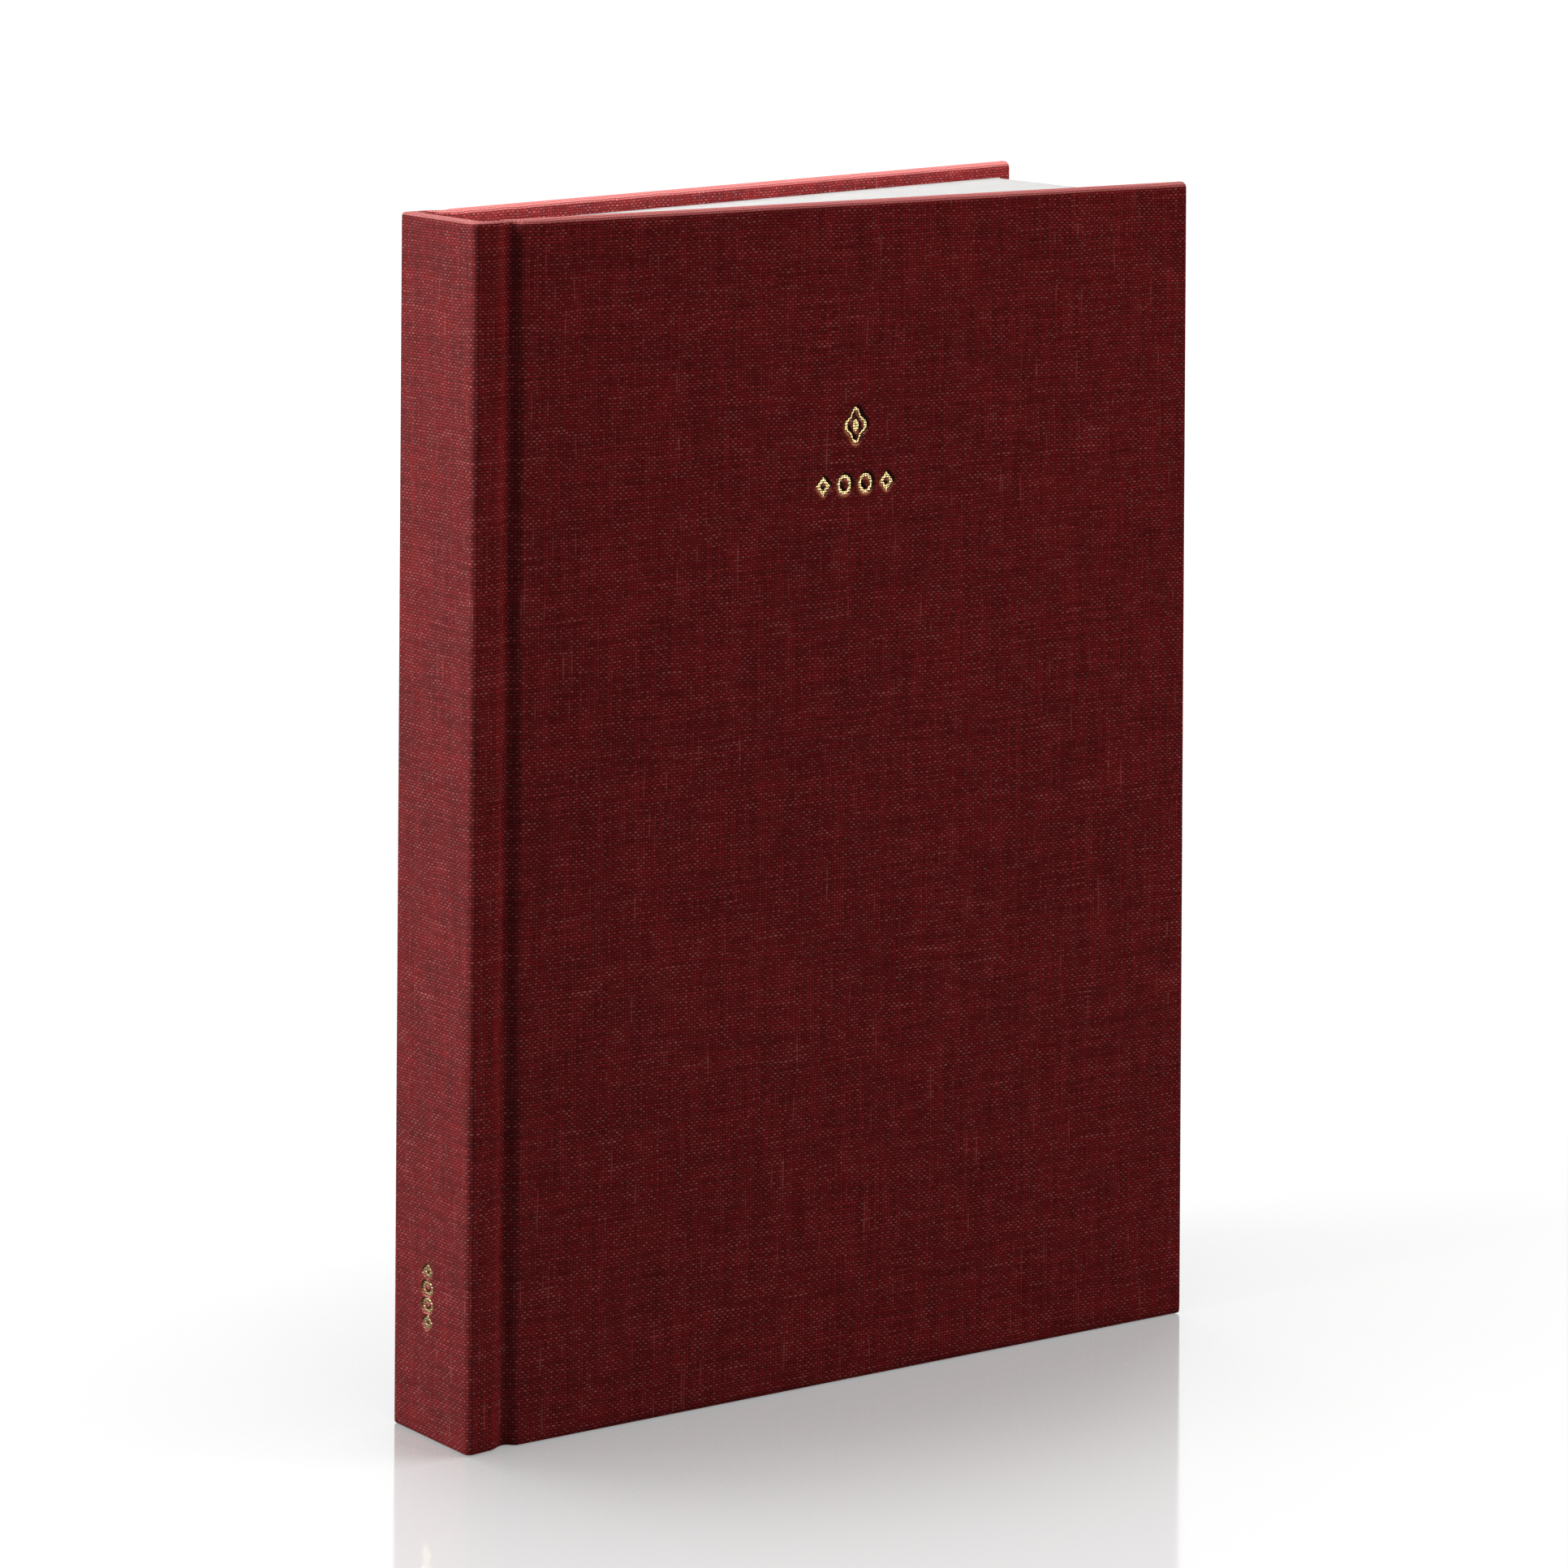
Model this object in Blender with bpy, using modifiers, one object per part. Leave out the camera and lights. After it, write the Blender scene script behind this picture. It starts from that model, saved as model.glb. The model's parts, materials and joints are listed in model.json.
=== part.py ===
"""Clothbound prayer book, A5 pages in a case binding with a flat spine and grooved joints.

The book stands on its tail edge with both covers slightly open and the sections of
pages fanned evenly between them. +Z is up, +X runs from the spine to the fore-edge,
and the front cover is on the -Y side. Lengths are in millimetres until mm() turns
them into metres. Inside each function, X is measured from the spine's outer face and
"depth" is the distance from the middle plane of the closed book.
"""
import math

import bmesh
import bpy
from mathutils import Vector

# Whole book
COVER_HEIGHT = 216.0
COVER_WIDTH = 156.0
HALF_THICKNESS = 11.875
SPLAY_DEG = 6.0
FRAME_ORIGIN_X = 1.5

# Case binding
CLOTH = 0.35
FIT_GAP = 0.05
PASTEDOWN = 0.15
MULL = 0.15
LINER = 0.15
SQUARE = 3.0
TURN_IN = 15.0
COVER_INNER_DEPTH = 8.925
EDGE_RADIUS = 1.2
BOARD_START = 10.25
SPINE_BOARD_INNER = 2.6
HEM_SETBACK = 0.6
CUT_MARGIN = 0.2
CUTTER_DEPTH = 8.0
FLANGE_GAP = 0.15
FLANGE_INSET = 1.0
PASTEDOWN_INSET = 0.4

# Shoulder of the spine and the groove beside it
CORNER_RADIUS = 1.4
SHOULDER_RADIUS = 1.6
SHOULDER_WIDTH = 5.15
SHOULDER_DEPTH = 9.6
GROOVE_START = 6.2
GROOVE_DEPTH = 9.475
COVER_AXIS = (6.0, 8.8)

# Pages
SECTION_COUNT = 10
SECTION_THICKNESS = 1.65
SECTION_PITCH = 1.7
SECTION_AXIS_X = 6.15
FOLD_RADIUS = 0.55
NECK_HALF = 0.12
NECK_END = 3.2
TAPER_END = 9.5
FORE_EDGE = 151.4
FLYLEAF = 0.15
FLYLEAF_AXIS = (6.25, 8.6)
FLYLEAF_RATIO = 0.98
FLYLEAF_START = 2.0

# Back of the text block
LINER_X = 4.5
MULL_X = 4.75
MULL_MARGIN = 10.0
MULL_FLANGE = 30.0
BAND_TAPE_X = 5.0
BAND_BEAD_X = 5.5
BAND_BEAD_RADIUS = 0.5
THREAD_X = 5.25
THREAD_RADIUS = 0.14
LINER_INSET = 1.0
BAND_TAPE = 0.15
BAND_TAPE_REACH = 6.0
BAND_RISE = 0.6
BAND_INSET = 0.2
KETTLE_INSET = 9.0
LINK_HEIGHTS = (60.0, 108.0, 156.0)

# Foil stamping
FOIL = 0.06
FOIL_GAP = 0.02
EMBLEM_PLACE = (80.7, 174.8)
EMBLEM_SIZE = (4.8, 6.7)
EMBLEM_CORE_SIZE = (1.3, 2.3)
QUATREFOIL_REACH = 0.85
QUATREFOIL_WAVE = 0.15
COVER_MARK_PLACE = (80.6, 164.1)
COVER_MARK_PITCH = 4.6
SPINE_MARK_PLACE = (1.0, 24.8)
SPINE_MARK_PITCH = 3.0
MARK_SIZE = (3.0, 3.6)
STROKE = 0.6
SPINE_MARK_SCALE = 0.85

ARC_STEPS = 8

FRONT = -1
BACK = 1
SIDE_NAME = {FRONT: "front", BACK: "back"}


def mm(*values):
    """Millimetres to metres, as a Vector."""
    return Vector([value * 0.001 for value in values])


def clear_scene():
    for obj in list(bpy.data.objects):
        bpy.data.objects.remove(obj, do_unlink=True)
    for collection in list(bpy.data.collections):
        bpy.data.collections.remove(collection)


def new_collection(name):
    collection = bpy.data.collections.new(name)
    bpy.context.scene.collection.children.link(collection)
    return collection


def new_material(name, colour, roughness, metallic=0.0):
    material = bpy.data.materials.new(name)
    material.use_nodes = True
    shader = material.node_tree.nodes["Principled BSDF"]
    shader.inputs["Base Color"].default_value = (*colour, 1.0)
    shader.inputs["Roughness"].default_value = roughness
    shader.inputs["Metallic"].default_value = metallic
    material.diffuse_color = (*colour, 1.0)
    return material


def new_empty(name, parent=None, place=(0.0, 0.0), turn_deg=0.0):
    """A pivot at place = (x, y), turned about the vertical."""
    empty = bpy.data.objects.new(name, None)
    empty.empty_display_size = 0.01
    empty.location = mm(place[0], place[1], 0.0)
    empty.rotation_euler = (0.0, 0.0, math.radians(turn_deg))
    empty.parent = parent
    PARTS.objects.link(empty)
    return empty


def add_object(name, data, colour, pivot, collection=None):
    """Link an object whose mesh is in closed-book coordinates, and hang it on its pivot."""
    obj = bpy.data.objects.new(name, data)
    obj.parent = pivot
    if colour is not None:
        obj.data.materials.append(colour)
    (collection or PARTS).objects.link(obj)
    return obj


def shift(pivot):
    """What to subtract from closed-book coordinates to get coordinates on this pivot."""
    return pivot.location if pivot.parent is not None else Vector((0.0, 0.0, 0.0))


def box(name, x_span, y_span, z_span, colour, pivot, collection=None):
    low = mm(x_span[0], min(y_span), z_span[0])
    high = mm(x_span[1], max(y_span), z_span[1])
    mesh = bpy.data.meshes.new(name)
    shape = bmesh.new()
    bmesh.ops.create_cube(shape, size=1.0)
    bmesh.ops.scale(shape, vec=high - low, verts=shape.verts)
    bmesh.ops.translate(shape, vec=(low + high) / 2 - shift(pivot), verts=shape.verts)
    shape.to_mesh(mesh)
    shape.free()
    return add_object(name, mesh, colour, pivot, collection)


def arc(centre, radius, start_deg, end_deg, steps=ARC_STEPS):
    points = []
    for step in range(steps + 1):
        angle = math.radians(start_deg + (end_deg - start_deg) * step / steps)
        points.append((centre[0] + radius * math.cos(angle), centre[1] + radius * math.sin(angle)))
    return points


def flat_curve(name, outlines, thickness):
    """A 2D curve filled between its outlines, thickened along its own Z."""
    curve = bpy.data.curves.new(name, "CURVE")
    curve.dimensions = "2D"
    curve.fill_mode = "BOTH"
    curve.extrude = thickness * 0.001 / 2
    for outline in outlines:
        spline = curve.splines.new("POLY")
        spline.points.add(len(outline) - 1)
        for point, (x, y) in zip(spline.points, outline):
            point.co = (*mm(x, y, 0.0), 1.0)
        spline.use_cyclic_u = True
    return curve


def upright(name, outline, z_span, colour, pivot, collection=None):
    """A plan outline in closed-book coordinates, carried from one height to another."""
    obj = add_object(name, flat_curve(name, [outline], z_span[1] - z_span[0]), colour, pivot, collection)
    obj.location = mm(0.0, 0.0, (z_span[0] + z_span[1]) / 2) - shift(pivot)
    return obj


def to_mesh_object(curve_obj):
    """Replace a curve object by a welded mesh object at the same place."""
    bpy.context.view_layer.update()
    evaluated = curve_obj.evaluated_get(bpy.context.evaluated_depsgraph_get())
    mesh = bpy.data.meshes.new_from_object(evaluated)
    shape = bmesh.new()
    shape.from_mesh(mesh)
    bmesh.ops.remove_doubles(shape, verts=shape.verts, dist=0.00001)
    bmesh.ops.recalc_face_normals(shape, faces=shape.faces)
    shape.to_mesh(mesh)
    shape.free()
    name = curve_obj.name
    collection = curve_obj.users_collection[0]
    parent = curve_obj.parent
    location = curve_obj.location.copy()
    bpy.data.objects.remove(curve_obj, do_unlink=True)
    obj = bpy.data.objects.new(name, mesh)
    obj.parent = parent
    obj.location = location
    collection.objects.link(obj)
    return obj


def bevel(obj, width):
    modifier = obj.modifiers.new("Bevel", "BEVEL")
    modifier.width = width * 0.001
    modifier.segments = 3
    modifier.limit_method = "ANGLE"
    modifier.angle_limit = math.radians(50)


def boolean(obj, other, operation):
    modifier = obj.modifiers.new(operation.title(), "BOOLEAN")
    modifier.operation = operation
    modifier.solver = "EXACT"
    modifier.object = other
    other.hide_render = True
    other.display_type = "WIRE"


def round_spine_path(offset):
    """Front half of the spine's plan, offset inwards: up the shoulder, over it and round the corner."""
    shoulder = (SHOULDER_WIDTH - SHOULDER_RADIUS, SHOULDER_RADIUS - HALF_THICKNESS)
    corner = (CORNER_RADIUS, CORNER_RADIUS - HALF_THICKNESS)
    path = [(SHOULDER_WIDTH - offset, -SHOULDER_DEPTH)]
    path += arc(shoulder, SHOULDER_RADIUS - offset, 0, -90)
    path += arc(corner, CORNER_RADIUS - offset, -90, -180)
    return path


def both_halves(front_path):
    return front_path + [(x, -y) for x, y in reversed(front_path)]


def spine_board(pivot):
    inset = CLOTH + FIT_GAP
    corner = (CORNER_RADIUS, CORNER_RADIUS - HALF_THICKNESS)
    inner_corner = (SPINE_BOARD_INNER, inset - HALF_THICKNESS)
    outline = both_halves([inner_corner] + arc(corner, CORNER_RADIUS - inset, -90, -180))
    upright("spine_board", outline, (inset, COVER_HEIGHT - inset), BOARD, pivot)


def spine_cloth(pivot):
    """Cloth round the spine board and shoulders, turned in over the board at head and tail."""
    hem_x = SPINE_BOARD_INNER + FIT_GAP
    hem_reach = SHOULDER_DEPTH - HEM_SETBACK
    outer = both_halves([(hem_x + CLOTH, -SHOULDER_DEPTH)] + round_spine_path(0.0))
    cloth = to_mesh_object(upright("spine_cloth", outer, (0.0, COVER_HEIGHT), None, pivot))
    cloth.data.materials.append(BOOKCLOTH)

    shoulder_mouth = (SHOULDER_WIDTH - CLOTH, -hem_reach)
    inner = both_halves([(hem_x, -hem_reach), shoulder_mouth] + round_spine_path(CLOTH)[1:])
    room_z = (CLOTH, COVER_HEIGHT - CLOTH)
    room = to_mesh_object(upright("spine_board_space", inner, room_z, None, pivot, CUTTERS))
    window_reach = SHOULDER_DEPTH - CUT_MARGIN
    window = box("spine_turn_in_window", (hem_x - CUT_MARGIN, hem_x + 2 * CLOTH),
                 (-window_reach, window_reach), (TURN_IN, COVER_HEIGHT - TURN_IN), None, pivot, CUTTERS)
    boolean(cloth, room, "DIFFERENCE")
    boolean(cloth, window, "DIFFERENCE")


def block_back(pivot):
    """Linings, bands and sewing behind the folds of the pages."""
    half = SECTION_COUNT * SECTION_PITCH / 2
    tail = SQUARE
    head = COVER_HEIGHT - SQUARE
    liner_half = half - FIT_GAP
    liner_z = (tail + LINER_INSET, head - LINER_INSET)
    box("spine_liner", (LINER_X, LINER_X + LINER), (-liner_half, liner_half), liner_z, KRAFT, pivot)
    mull_span = (tail + MULL_MARGIN, head - MULL_MARGIN)
    box("mull", (MULL_X, MULL_X + MULL), (-half, half), mull_span, GAUZE, pivot)

    tape_inner = BAND_TAPE_X + BAND_TAPE
    for name, edge, up in (("headband", head, 1), ("tailband", tail, -1)):
        bead = (BAND_BEAD_X, edge + up * BAND_RISE)
        tape_end = edge - up * BAND_TAPE_REACH
        outline = [(BAND_TAPE_X, tape_end), (BAND_TAPE_X, bead[1])]
        outline += arc(bead, BAND_BEAD_RADIUS, 180, 180 - 270 * up, 12)
        outline += [(tape_inner, bead[1] - up * BAND_BEAD_RADIUS), (tape_inner, tape_end)]
        band = add_object(name, flat_curve(name, [outline], 2 * (half - BAND_INSET)), BAND_SILK, pivot)
        band.rotation_euler = (math.radians(90), 0.0, 0.0)

    rows = [("kettle_stitch_tail", tail + KETTLE_INSET), ("kettle_stitch_head", head - KETTLE_INSET)]
    rows += [(f"link_stitch_{index}", height) for index, height in enumerate(LINK_HEIGHTS, 1)]
    for name, height in rows:
        sewing_row(name, height, half - SECTION_PITCH / 2, pivot)


def sewing_row(name, height, reach, pivot):
    """One run of thread across the backs of the folds."""
    curve = bpy.data.curves.new(name, "CURVE")
    curve.dimensions = "3D"
    curve.bevel_depth = THREAD_RADIUS * 0.001
    curve.bevel_resolution = 2
    curve.use_fill_caps = True
    spline = curve.splines.new("POLY")
    spline.points.add(1)
    spline.points[0].co = (*mm(THREAD_X, -reach, height), 1.0)
    spline.points[1].co = (*mm(THREAD_X, reach, height), 1.0)
    add_object(name, curve, THREAD, pivot)


def cover_slab(name, inset, side, colour, pivot, collection=None):
    """A cover's rounded slab, inset evenly from the outside of its cloth."""
    slab = box(name, (BOARD_START - CLOTH + inset, COVER_WIDTH - inset),
               (side * (COVER_INNER_DEPTH + inset), side * (HALF_THICKNESS - inset)),
               (inset, COVER_HEIGHT - inset), colour, pivot, collection)
    bevel(slab, EDGE_RADIUS - inset)
    return slab


def cover(side, pivot):
    """Board, its cloth with the groove strip and turn-ins, pastedown and mull flange."""
    label = SIDE_NAME[side]
    cover_slab(f"{label}_board", CLOTH + FIT_GAP, side, BOARD, pivot)

    cloth = cover_slab(f"{label}_cover_cloth", 0.0, side, BOOKCLOTH, pivot)
    hollow = cover_slab(f"{label}_board_space", CLOTH, side, None, pivot, CUTTERS)
    strip_span = (side * COVER_INNER_DEPTH, side * GROOVE_DEPTH)
    strip = box(f"{label}_groove_strip", (GROOVE_START, BOARD_START), strip_span,
                (0.0, COVER_HEIGHT), None, pivot, CUTTERS)
    window_z = (TURN_IN, COVER_HEIGHT - TURN_IN)
    board_window = box(f"{label}_turn_in_window", (BOARD_START, COVER_WIDTH - TURN_IN),
                       (side * CUTTER_DEPTH, side * (COVER_INNER_DEPTH + 2 * CLOTH)),
                       window_z, None, pivot, CUTTERS)
    groove_window = box(f"{label}_groove_window", (GROOVE_START - CUT_MARGIN, BOARD_START + CUT_MARGIN),
                        (side * CUTTER_DEPTH, side * (GROOVE_DEPTH - CLOTH)),
                        window_z, None, pivot, CUTTERS)
    boolean(cloth, strip, "UNION")
    boolean(cloth, hollow, "DIFFERENCE")
    boolean(cloth, board_window, "DIFFERENCE")
    boolean(cloth, groove_window, "DIFFERENCE")

    flange_span = (side * COVER_INNER_DEPTH, side * (COVER_INNER_DEPTH + MULL))
    flange_margin = TURN_IN + FLANGE_INSET
    box(f"{label}_mull_flange", (GROOVE_START + FLANGE_GAP, GROOVE_START + MULL_FLANGE), flange_span,
        (flange_margin, COVER_HEIGHT - flange_margin), GAUZE, pivot)
    paste_outer = COVER_INNER_DEPTH - FIT_GAP
    box(f"{label}_pastedown", (GROOVE_START + FLANGE_GAP, COVER_WIDTH - SQUARE - PASTEDOWN_INSET),
        (side * paste_outer, side * (paste_outer - PASTEDOWN)), (SQUARE, COVER_HEIGHT - SQUARE), PAPER, pivot)


def section_outline():
    """Plan of one section about its own axis: round fold, thin neck where the leaves flex, full stack."""
    half = SECTION_THICKNESS / 2
    gap_deg = math.degrees(math.asin(NECK_HALF / FOLD_RADIUS))
    outline = arc((0.0, 0.0), FOLD_RADIUS, gap_deg, 360 - gap_deg, 16)
    outline += [(NECK_END, -NECK_HALF), (TAPER_END, -half), (FORE_EDGE - SECTION_AXIS_X, -half)]
    outline += [(FORE_EDGE - SECTION_AXIS_X, half), (TAPER_END, half), (NECK_END, NECK_HALF)]
    return outline


def section(index, root):
    """Section 1 lies against the front cover. Its share of the cover's swing is its opening ratio."""
    place = index - (SECTION_COUNT + 1) / 2
    ratio = place * 2 / SECTION_COUNT
    name = f"section_{index:02d}"
    pages = flat_curve(name, [section_outline()], COVER_HEIGHT - 2 * SQUARE)
    obj = add_object(name, pages, PAPER, root)
    obj.location = mm(SECTION_AXIS_X, place * SECTION_PITCH, COVER_HEIGHT / 2)
    obj.rotation_euler = (0.0, 0.0, math.radians(SPLAY_DEG * ratio))


def flyleaf(side, root):
    x_axis, depth = FLYLEAF_AXIS
    turn = side * SPLAY_DEG * FLYLEAF_RATIO
    pivot = new_empty(f"{SIDE_NAME[side]}_flyleaf_hinge", root, (x_axis, side * depth), turn)
    y_span = (side * depth - FLYLEAF / 2, side * depth + FLYLEAF / 2)
    box(f"{SIDE_NAME[side]}_flyleaf", (x_axis + FLYLEAF_START, FORE_EDGE), y_span,
        (SQUARE, COVER_HEIGHT - SQUARE), PAPER, pivot)


def lozenge(size, inset):
    half_width, half_height = size[0] / 2, size[1] / 2
    scale = 1 - inset * math.hypot(half_width, half_height) / (half_width * half_height)
    half_width, half_height = half_width * scale, half_height * scale
    return [(half_width, 0.0), (0.0, half_height), (-half_width, 0.0), (0.0, -half_height)]


def oval(size, inset):
    circle = arc((0.0, 0.0), 1.0, 0, 360, 24)[:-1]
    return [(x * (size[0] / 2 - inset), y * (size[1] / 2 - inset)) for x, y in circle]


def quatrefoil(size, inset):
    """Four-lobed bookbinder's flower, from one polar formula."""
    outline = []
    for step in range(64):
        angle = math.tau * step / 64
        reach = QUATREFOIL_REACH + QUATREFOIL_WAVE * math.cos(4 * angle)
        x = (size[0] / 2 - inset) * reach * math.cos(angle)
        y = (size[1] / 2 - inset) * reach * math.sin(angle)
        outline.append((x, y))
    return outline


def line_drawn(figure, size):
    """The figure as a line of foil, one stroke wide."""
    return [figure(size, 0.0), list(reversed(figure(size, STROKE)))]


def foil(name, outlines, place, turn, pivot):
    obj = add_object(name, flat_curve(name, outlines, FOIL), GOLD, pivot)
    obj.location = mm(*place) - shift(pivot)
    obj.rotation_euler = turn


def foil_stamping(root, front_pivot):
    """A flower over a row of four plain figures on the front cover, and the row again on the spine."""
    y = -(HALF_THICKNESS + FOIL_GAP + FOIL / 2)
    facing_front = (math.radians(90), 0.0, 0.0)
    emblem = line_drawn(quatrefoil, EMBLEM_SIZE)
    core = line_drawn(oval, EMBLEM_CORE_SIZE)
    emblem_place = (EMBLEM_PLACE[0], y, EMBLEM_PLACE[1])
    foil("emblem_foil", emblem, emblem_place, facing_front, front_pivot)
    foil("emblem_core_foil", core, emblem_place, facing_front, front_pivot)
    figures = (lozenge, oval, oval, lozenge)
    for index, figure in enumerate(figures):
        step = index - (len(figures) - 1) / 2
        x = COVER_MARK_PLACE[0] + step * COVER_MARK_PITCH
        mark = line_drawn(figure, MARK_SIZE)
        foil(f"cover_foil_{index + 1}", mark, (x, y, COVER_MARK_PLACE[1]), facing_front, front_pivot)
    down_the_spine = (math.radians(90), math.radians(90), math.radians(-90))
    spine_size = (MARK_SIZE[0] * SPINE_MARK_SCALE, MARK_SIZE[1] * SPINE_MARK_SCALE)
    for index, figure in enumerate(figures):
        step = index - (len(figures) - 1) / 2
        z = SPINE_MARK_PLACE[1] - step * SPINE_MARK_PITCH
        place = (-(FOIL_GAP + FOIL / 2), SPINE_MARK_PLACE[0], z)
        foil(f"spine_foil_{index + 1}", line_drawn(figure, spine_size), place, down_the_spine, root)


clear_scene()
PARTS = new_collection("prayer_book")
CUTTERS = new_collection("cutters")

BOOKCLOTH = new_material("bookcloth", (0.105, 0.013, 0.015), 0.85)
BOARD = new_material("greyboard", (0.36, 0.33, 0.29), 0.9)
PAPER = new_material("page_paper", (0.86, 0.85, 0.82), 0.8)
KRAFT = new_material("kraft_paper", (0.45, 0.30, 0.17), 0.85)
GAUZE = new_material("mull_gauze", (0.72, 0.70, 0.63), 0.9)
BAND_SILK = new_material("band_silk", (0.42, 0.05, 0.05), 0.55)
THREAD = new_material("linen_thread", (0.80, 0.77, 0.68), 0.7)
GOLD = new_material("gold_foil", (0.83, 0.60, 0.26), 0.3, 1.0)

book = new_empty("prayer_book_spine_face", None, (-FRAME_ORIGIN_X, 0.0))
spine_board(book)
spine_cloth(book)
block_back(book)

pivots = {}
for cover_side in (FRONT, BACK):
    axis_place = (COVER_AXIS[0], cover_side * COVER_AXIS[1])
    hinge = new_empty(f"{SIDE_NAME[cover_side]}_cover_hinge", book, axis_place, cover_side * SPLAY_DEG)
    pivots[cover_side] = hinge
    cover(cover_side, hinge)
    flyleaf(cover_side, book)

for section_index in range(1, SECTION_COUNT + 1):
    section(section_index, book)

foil_stamping(book, pivots[FRONT])
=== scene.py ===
"""Looks of the clothbound prayer book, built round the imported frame.

Every piece is laid out on the closed book, in millimetres: x from the spine's outer face towards the
fore-edge, y across the thickness (front cover at -y), z up from the tail. turned() then opens it to rest.
"""

import json
import math

import bpy
import numpy as np
from mathutils import Matrix, Vector

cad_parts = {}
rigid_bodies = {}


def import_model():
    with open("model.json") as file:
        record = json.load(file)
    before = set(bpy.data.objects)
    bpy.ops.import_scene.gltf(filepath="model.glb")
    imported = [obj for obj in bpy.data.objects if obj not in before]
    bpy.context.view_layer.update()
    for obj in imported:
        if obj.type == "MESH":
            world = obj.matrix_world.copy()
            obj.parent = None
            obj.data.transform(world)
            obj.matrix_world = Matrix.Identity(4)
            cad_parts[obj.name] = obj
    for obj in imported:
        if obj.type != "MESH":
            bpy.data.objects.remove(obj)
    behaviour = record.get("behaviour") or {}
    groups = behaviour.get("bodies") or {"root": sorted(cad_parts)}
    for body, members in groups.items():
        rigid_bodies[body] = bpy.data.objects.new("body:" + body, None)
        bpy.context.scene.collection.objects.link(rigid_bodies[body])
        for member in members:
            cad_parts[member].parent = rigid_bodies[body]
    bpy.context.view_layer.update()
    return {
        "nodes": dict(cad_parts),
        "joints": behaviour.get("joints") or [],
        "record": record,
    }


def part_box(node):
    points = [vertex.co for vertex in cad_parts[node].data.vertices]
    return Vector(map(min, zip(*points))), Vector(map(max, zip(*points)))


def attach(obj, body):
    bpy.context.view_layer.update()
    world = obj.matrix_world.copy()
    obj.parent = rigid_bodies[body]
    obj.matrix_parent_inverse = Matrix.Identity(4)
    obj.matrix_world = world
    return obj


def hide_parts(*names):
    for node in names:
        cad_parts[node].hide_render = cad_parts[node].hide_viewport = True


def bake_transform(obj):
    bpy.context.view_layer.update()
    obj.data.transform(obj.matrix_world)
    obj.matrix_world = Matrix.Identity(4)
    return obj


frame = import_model()

# ---------------------------------------------------------------- read from the frame
MM = 1000.0
FRONT, BACK = -1, 1
LABEL = {FRONT: "front", BACK: "back"}
JOINTS = {joint["name"]: joint for joint in frame["joints"]}


def box_mm(node):
    low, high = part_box(node)
    return np.array(low) * MM, np.array(high) * MM


SPINE_LOW, SPINE_HIGH = box_mm("spine_cloth")
SPINE_FACE_X = SPINE_LOW[0]
HALF = SPINE_HIGH[1]
HEIGHT = SPINE_HIGH[2]
SPLAY = -JOINTS["front_cover_hinge"]["range_deg"][0]
WIDE_OPEN = JOINTS["front_cover_hinge"]["range_deg"][1]


def joint_xy(name):
    """A joint's place on the closed book."""
    x, y, _ = JOINTS[name]["pos_m"]
    return np.array((x * MM - SPINE_FACE_X, y * MM))


def turned(points, hinge, degrees):
    """Closed-book points, turned about a vertical hinge."""
    points = np.asarray(points, float)
    angle = np.radians(degrees)
    dx = points[..., 0] - hinge[0]
    dy = points[..., 1] - hinge[1]
    x = hinge[0] + dx * np.cos(angle) - dy * np.sin(angle)
    y = hinge[1] + dx * np.sin(angle) + dy * np.cos(angle)
    return np.stack((x, y, points[..., 2]), -1)


def to_row(points):
    """Closed-book millimetres to the row frame in metres."""
    return (points + np.array((SPINE_FACE_X, 0.0, 0.0))) / MM


def closed_box(node, side=0):
    """Low and high corners of a CAD node, on the closed book."""
    mesh = frame["nodes"][node].data
    points = np.array([vertex.co for vertex in mesh.vertices]) * MM - np.array((SPINE_FACE_X, 0.0, 0.0))
    if side:
        points = turned(points, joint_xy(f"{LABEL[side]}_cover_hinge"), -side * SPLAY)
    return points.min(0), points.max(0)


def closed_middle(node, side=0):
    return np.mean(closed_box(node, side), axis=0)


# ---------------------------------------------------------------- sizes, in mm
COVER_EDGE = 156.0
COVER_INNER = 8.925
SPINE_CORNER = 1.4
SPINE_INNER = 3.0
SPLIT = 5.6
HINGE_REACH = 4.0
BEAD_END, GROOVE_FLOOR, BOARD_START = 4.9, 8.7, 10.9
GROOVE_DEEP = 1.20
GLUED_DEPTH, GLUE_REACH = 10.65, 2.2
EDGE_ROUND = 0.8
HEAD_ROUND, TAIL_ROUND, SPINE_HEAD_ROUND = 1.2, 0.35, 0.6
RIM, RIM_STEPS = 1.4, 5
BOARD_CORNER = 0.7
SPINE_INNER_ROUND, SPINE_INNER_RISE = 0.7, 0.35
TURN_IN, TURN_IN_SLOPE = 15.0, 0.6
CREASES, CREASE_WIDTH = (8.2, 9.3), 0.30
SQUARE = 3.0
PASTE_EDGE = 152.6
PASTE_DEPTH = 8.8
PAPER, FLYLEAF = 0.15, 0.12
STEP_DOWN = 0.13
STEP_START = 12.0

SECTIONS, LEAVES = 10, 16
LEAF_PITCH = 0.103
LEAF_THICK = 0.09
FOLD_X = 6.2
FOLD_SQUASH = 0.75
FORE_EDGE, TRIM_START = 151.4, 100.0
TRIM_SPREAD, CUT_SPREAD = 0.05, 0.03
LEAF_BEND, FLYLEAF_BEND = 10.0, 5.0
FLANGE_START, FLANGE_THICK = 9.6, 0.13
WIDEST_LEAF = 0.97

DEBOSS, DEBOSS_REACH = 0.31, 0.36
FOIL_TOP = 0.245
FOIL_THICK = 0.06
STROKE, STROKE_MARGIN = 0.6, 0.03
FIGURE_MARGIN = 1.2
# Offsets and reaches of the painted shade and of the painted orange glow beside the stamped strokes.
SHADE_SHIFT, SHADE_REACH = np.array((0.22, 0.24)), 0.50
GLOW_SHIFT, GLOW_REACH = np.array((-0.20, -0.26)), 0.60
SPINE_SHIFT = np.zeros(2)

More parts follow.
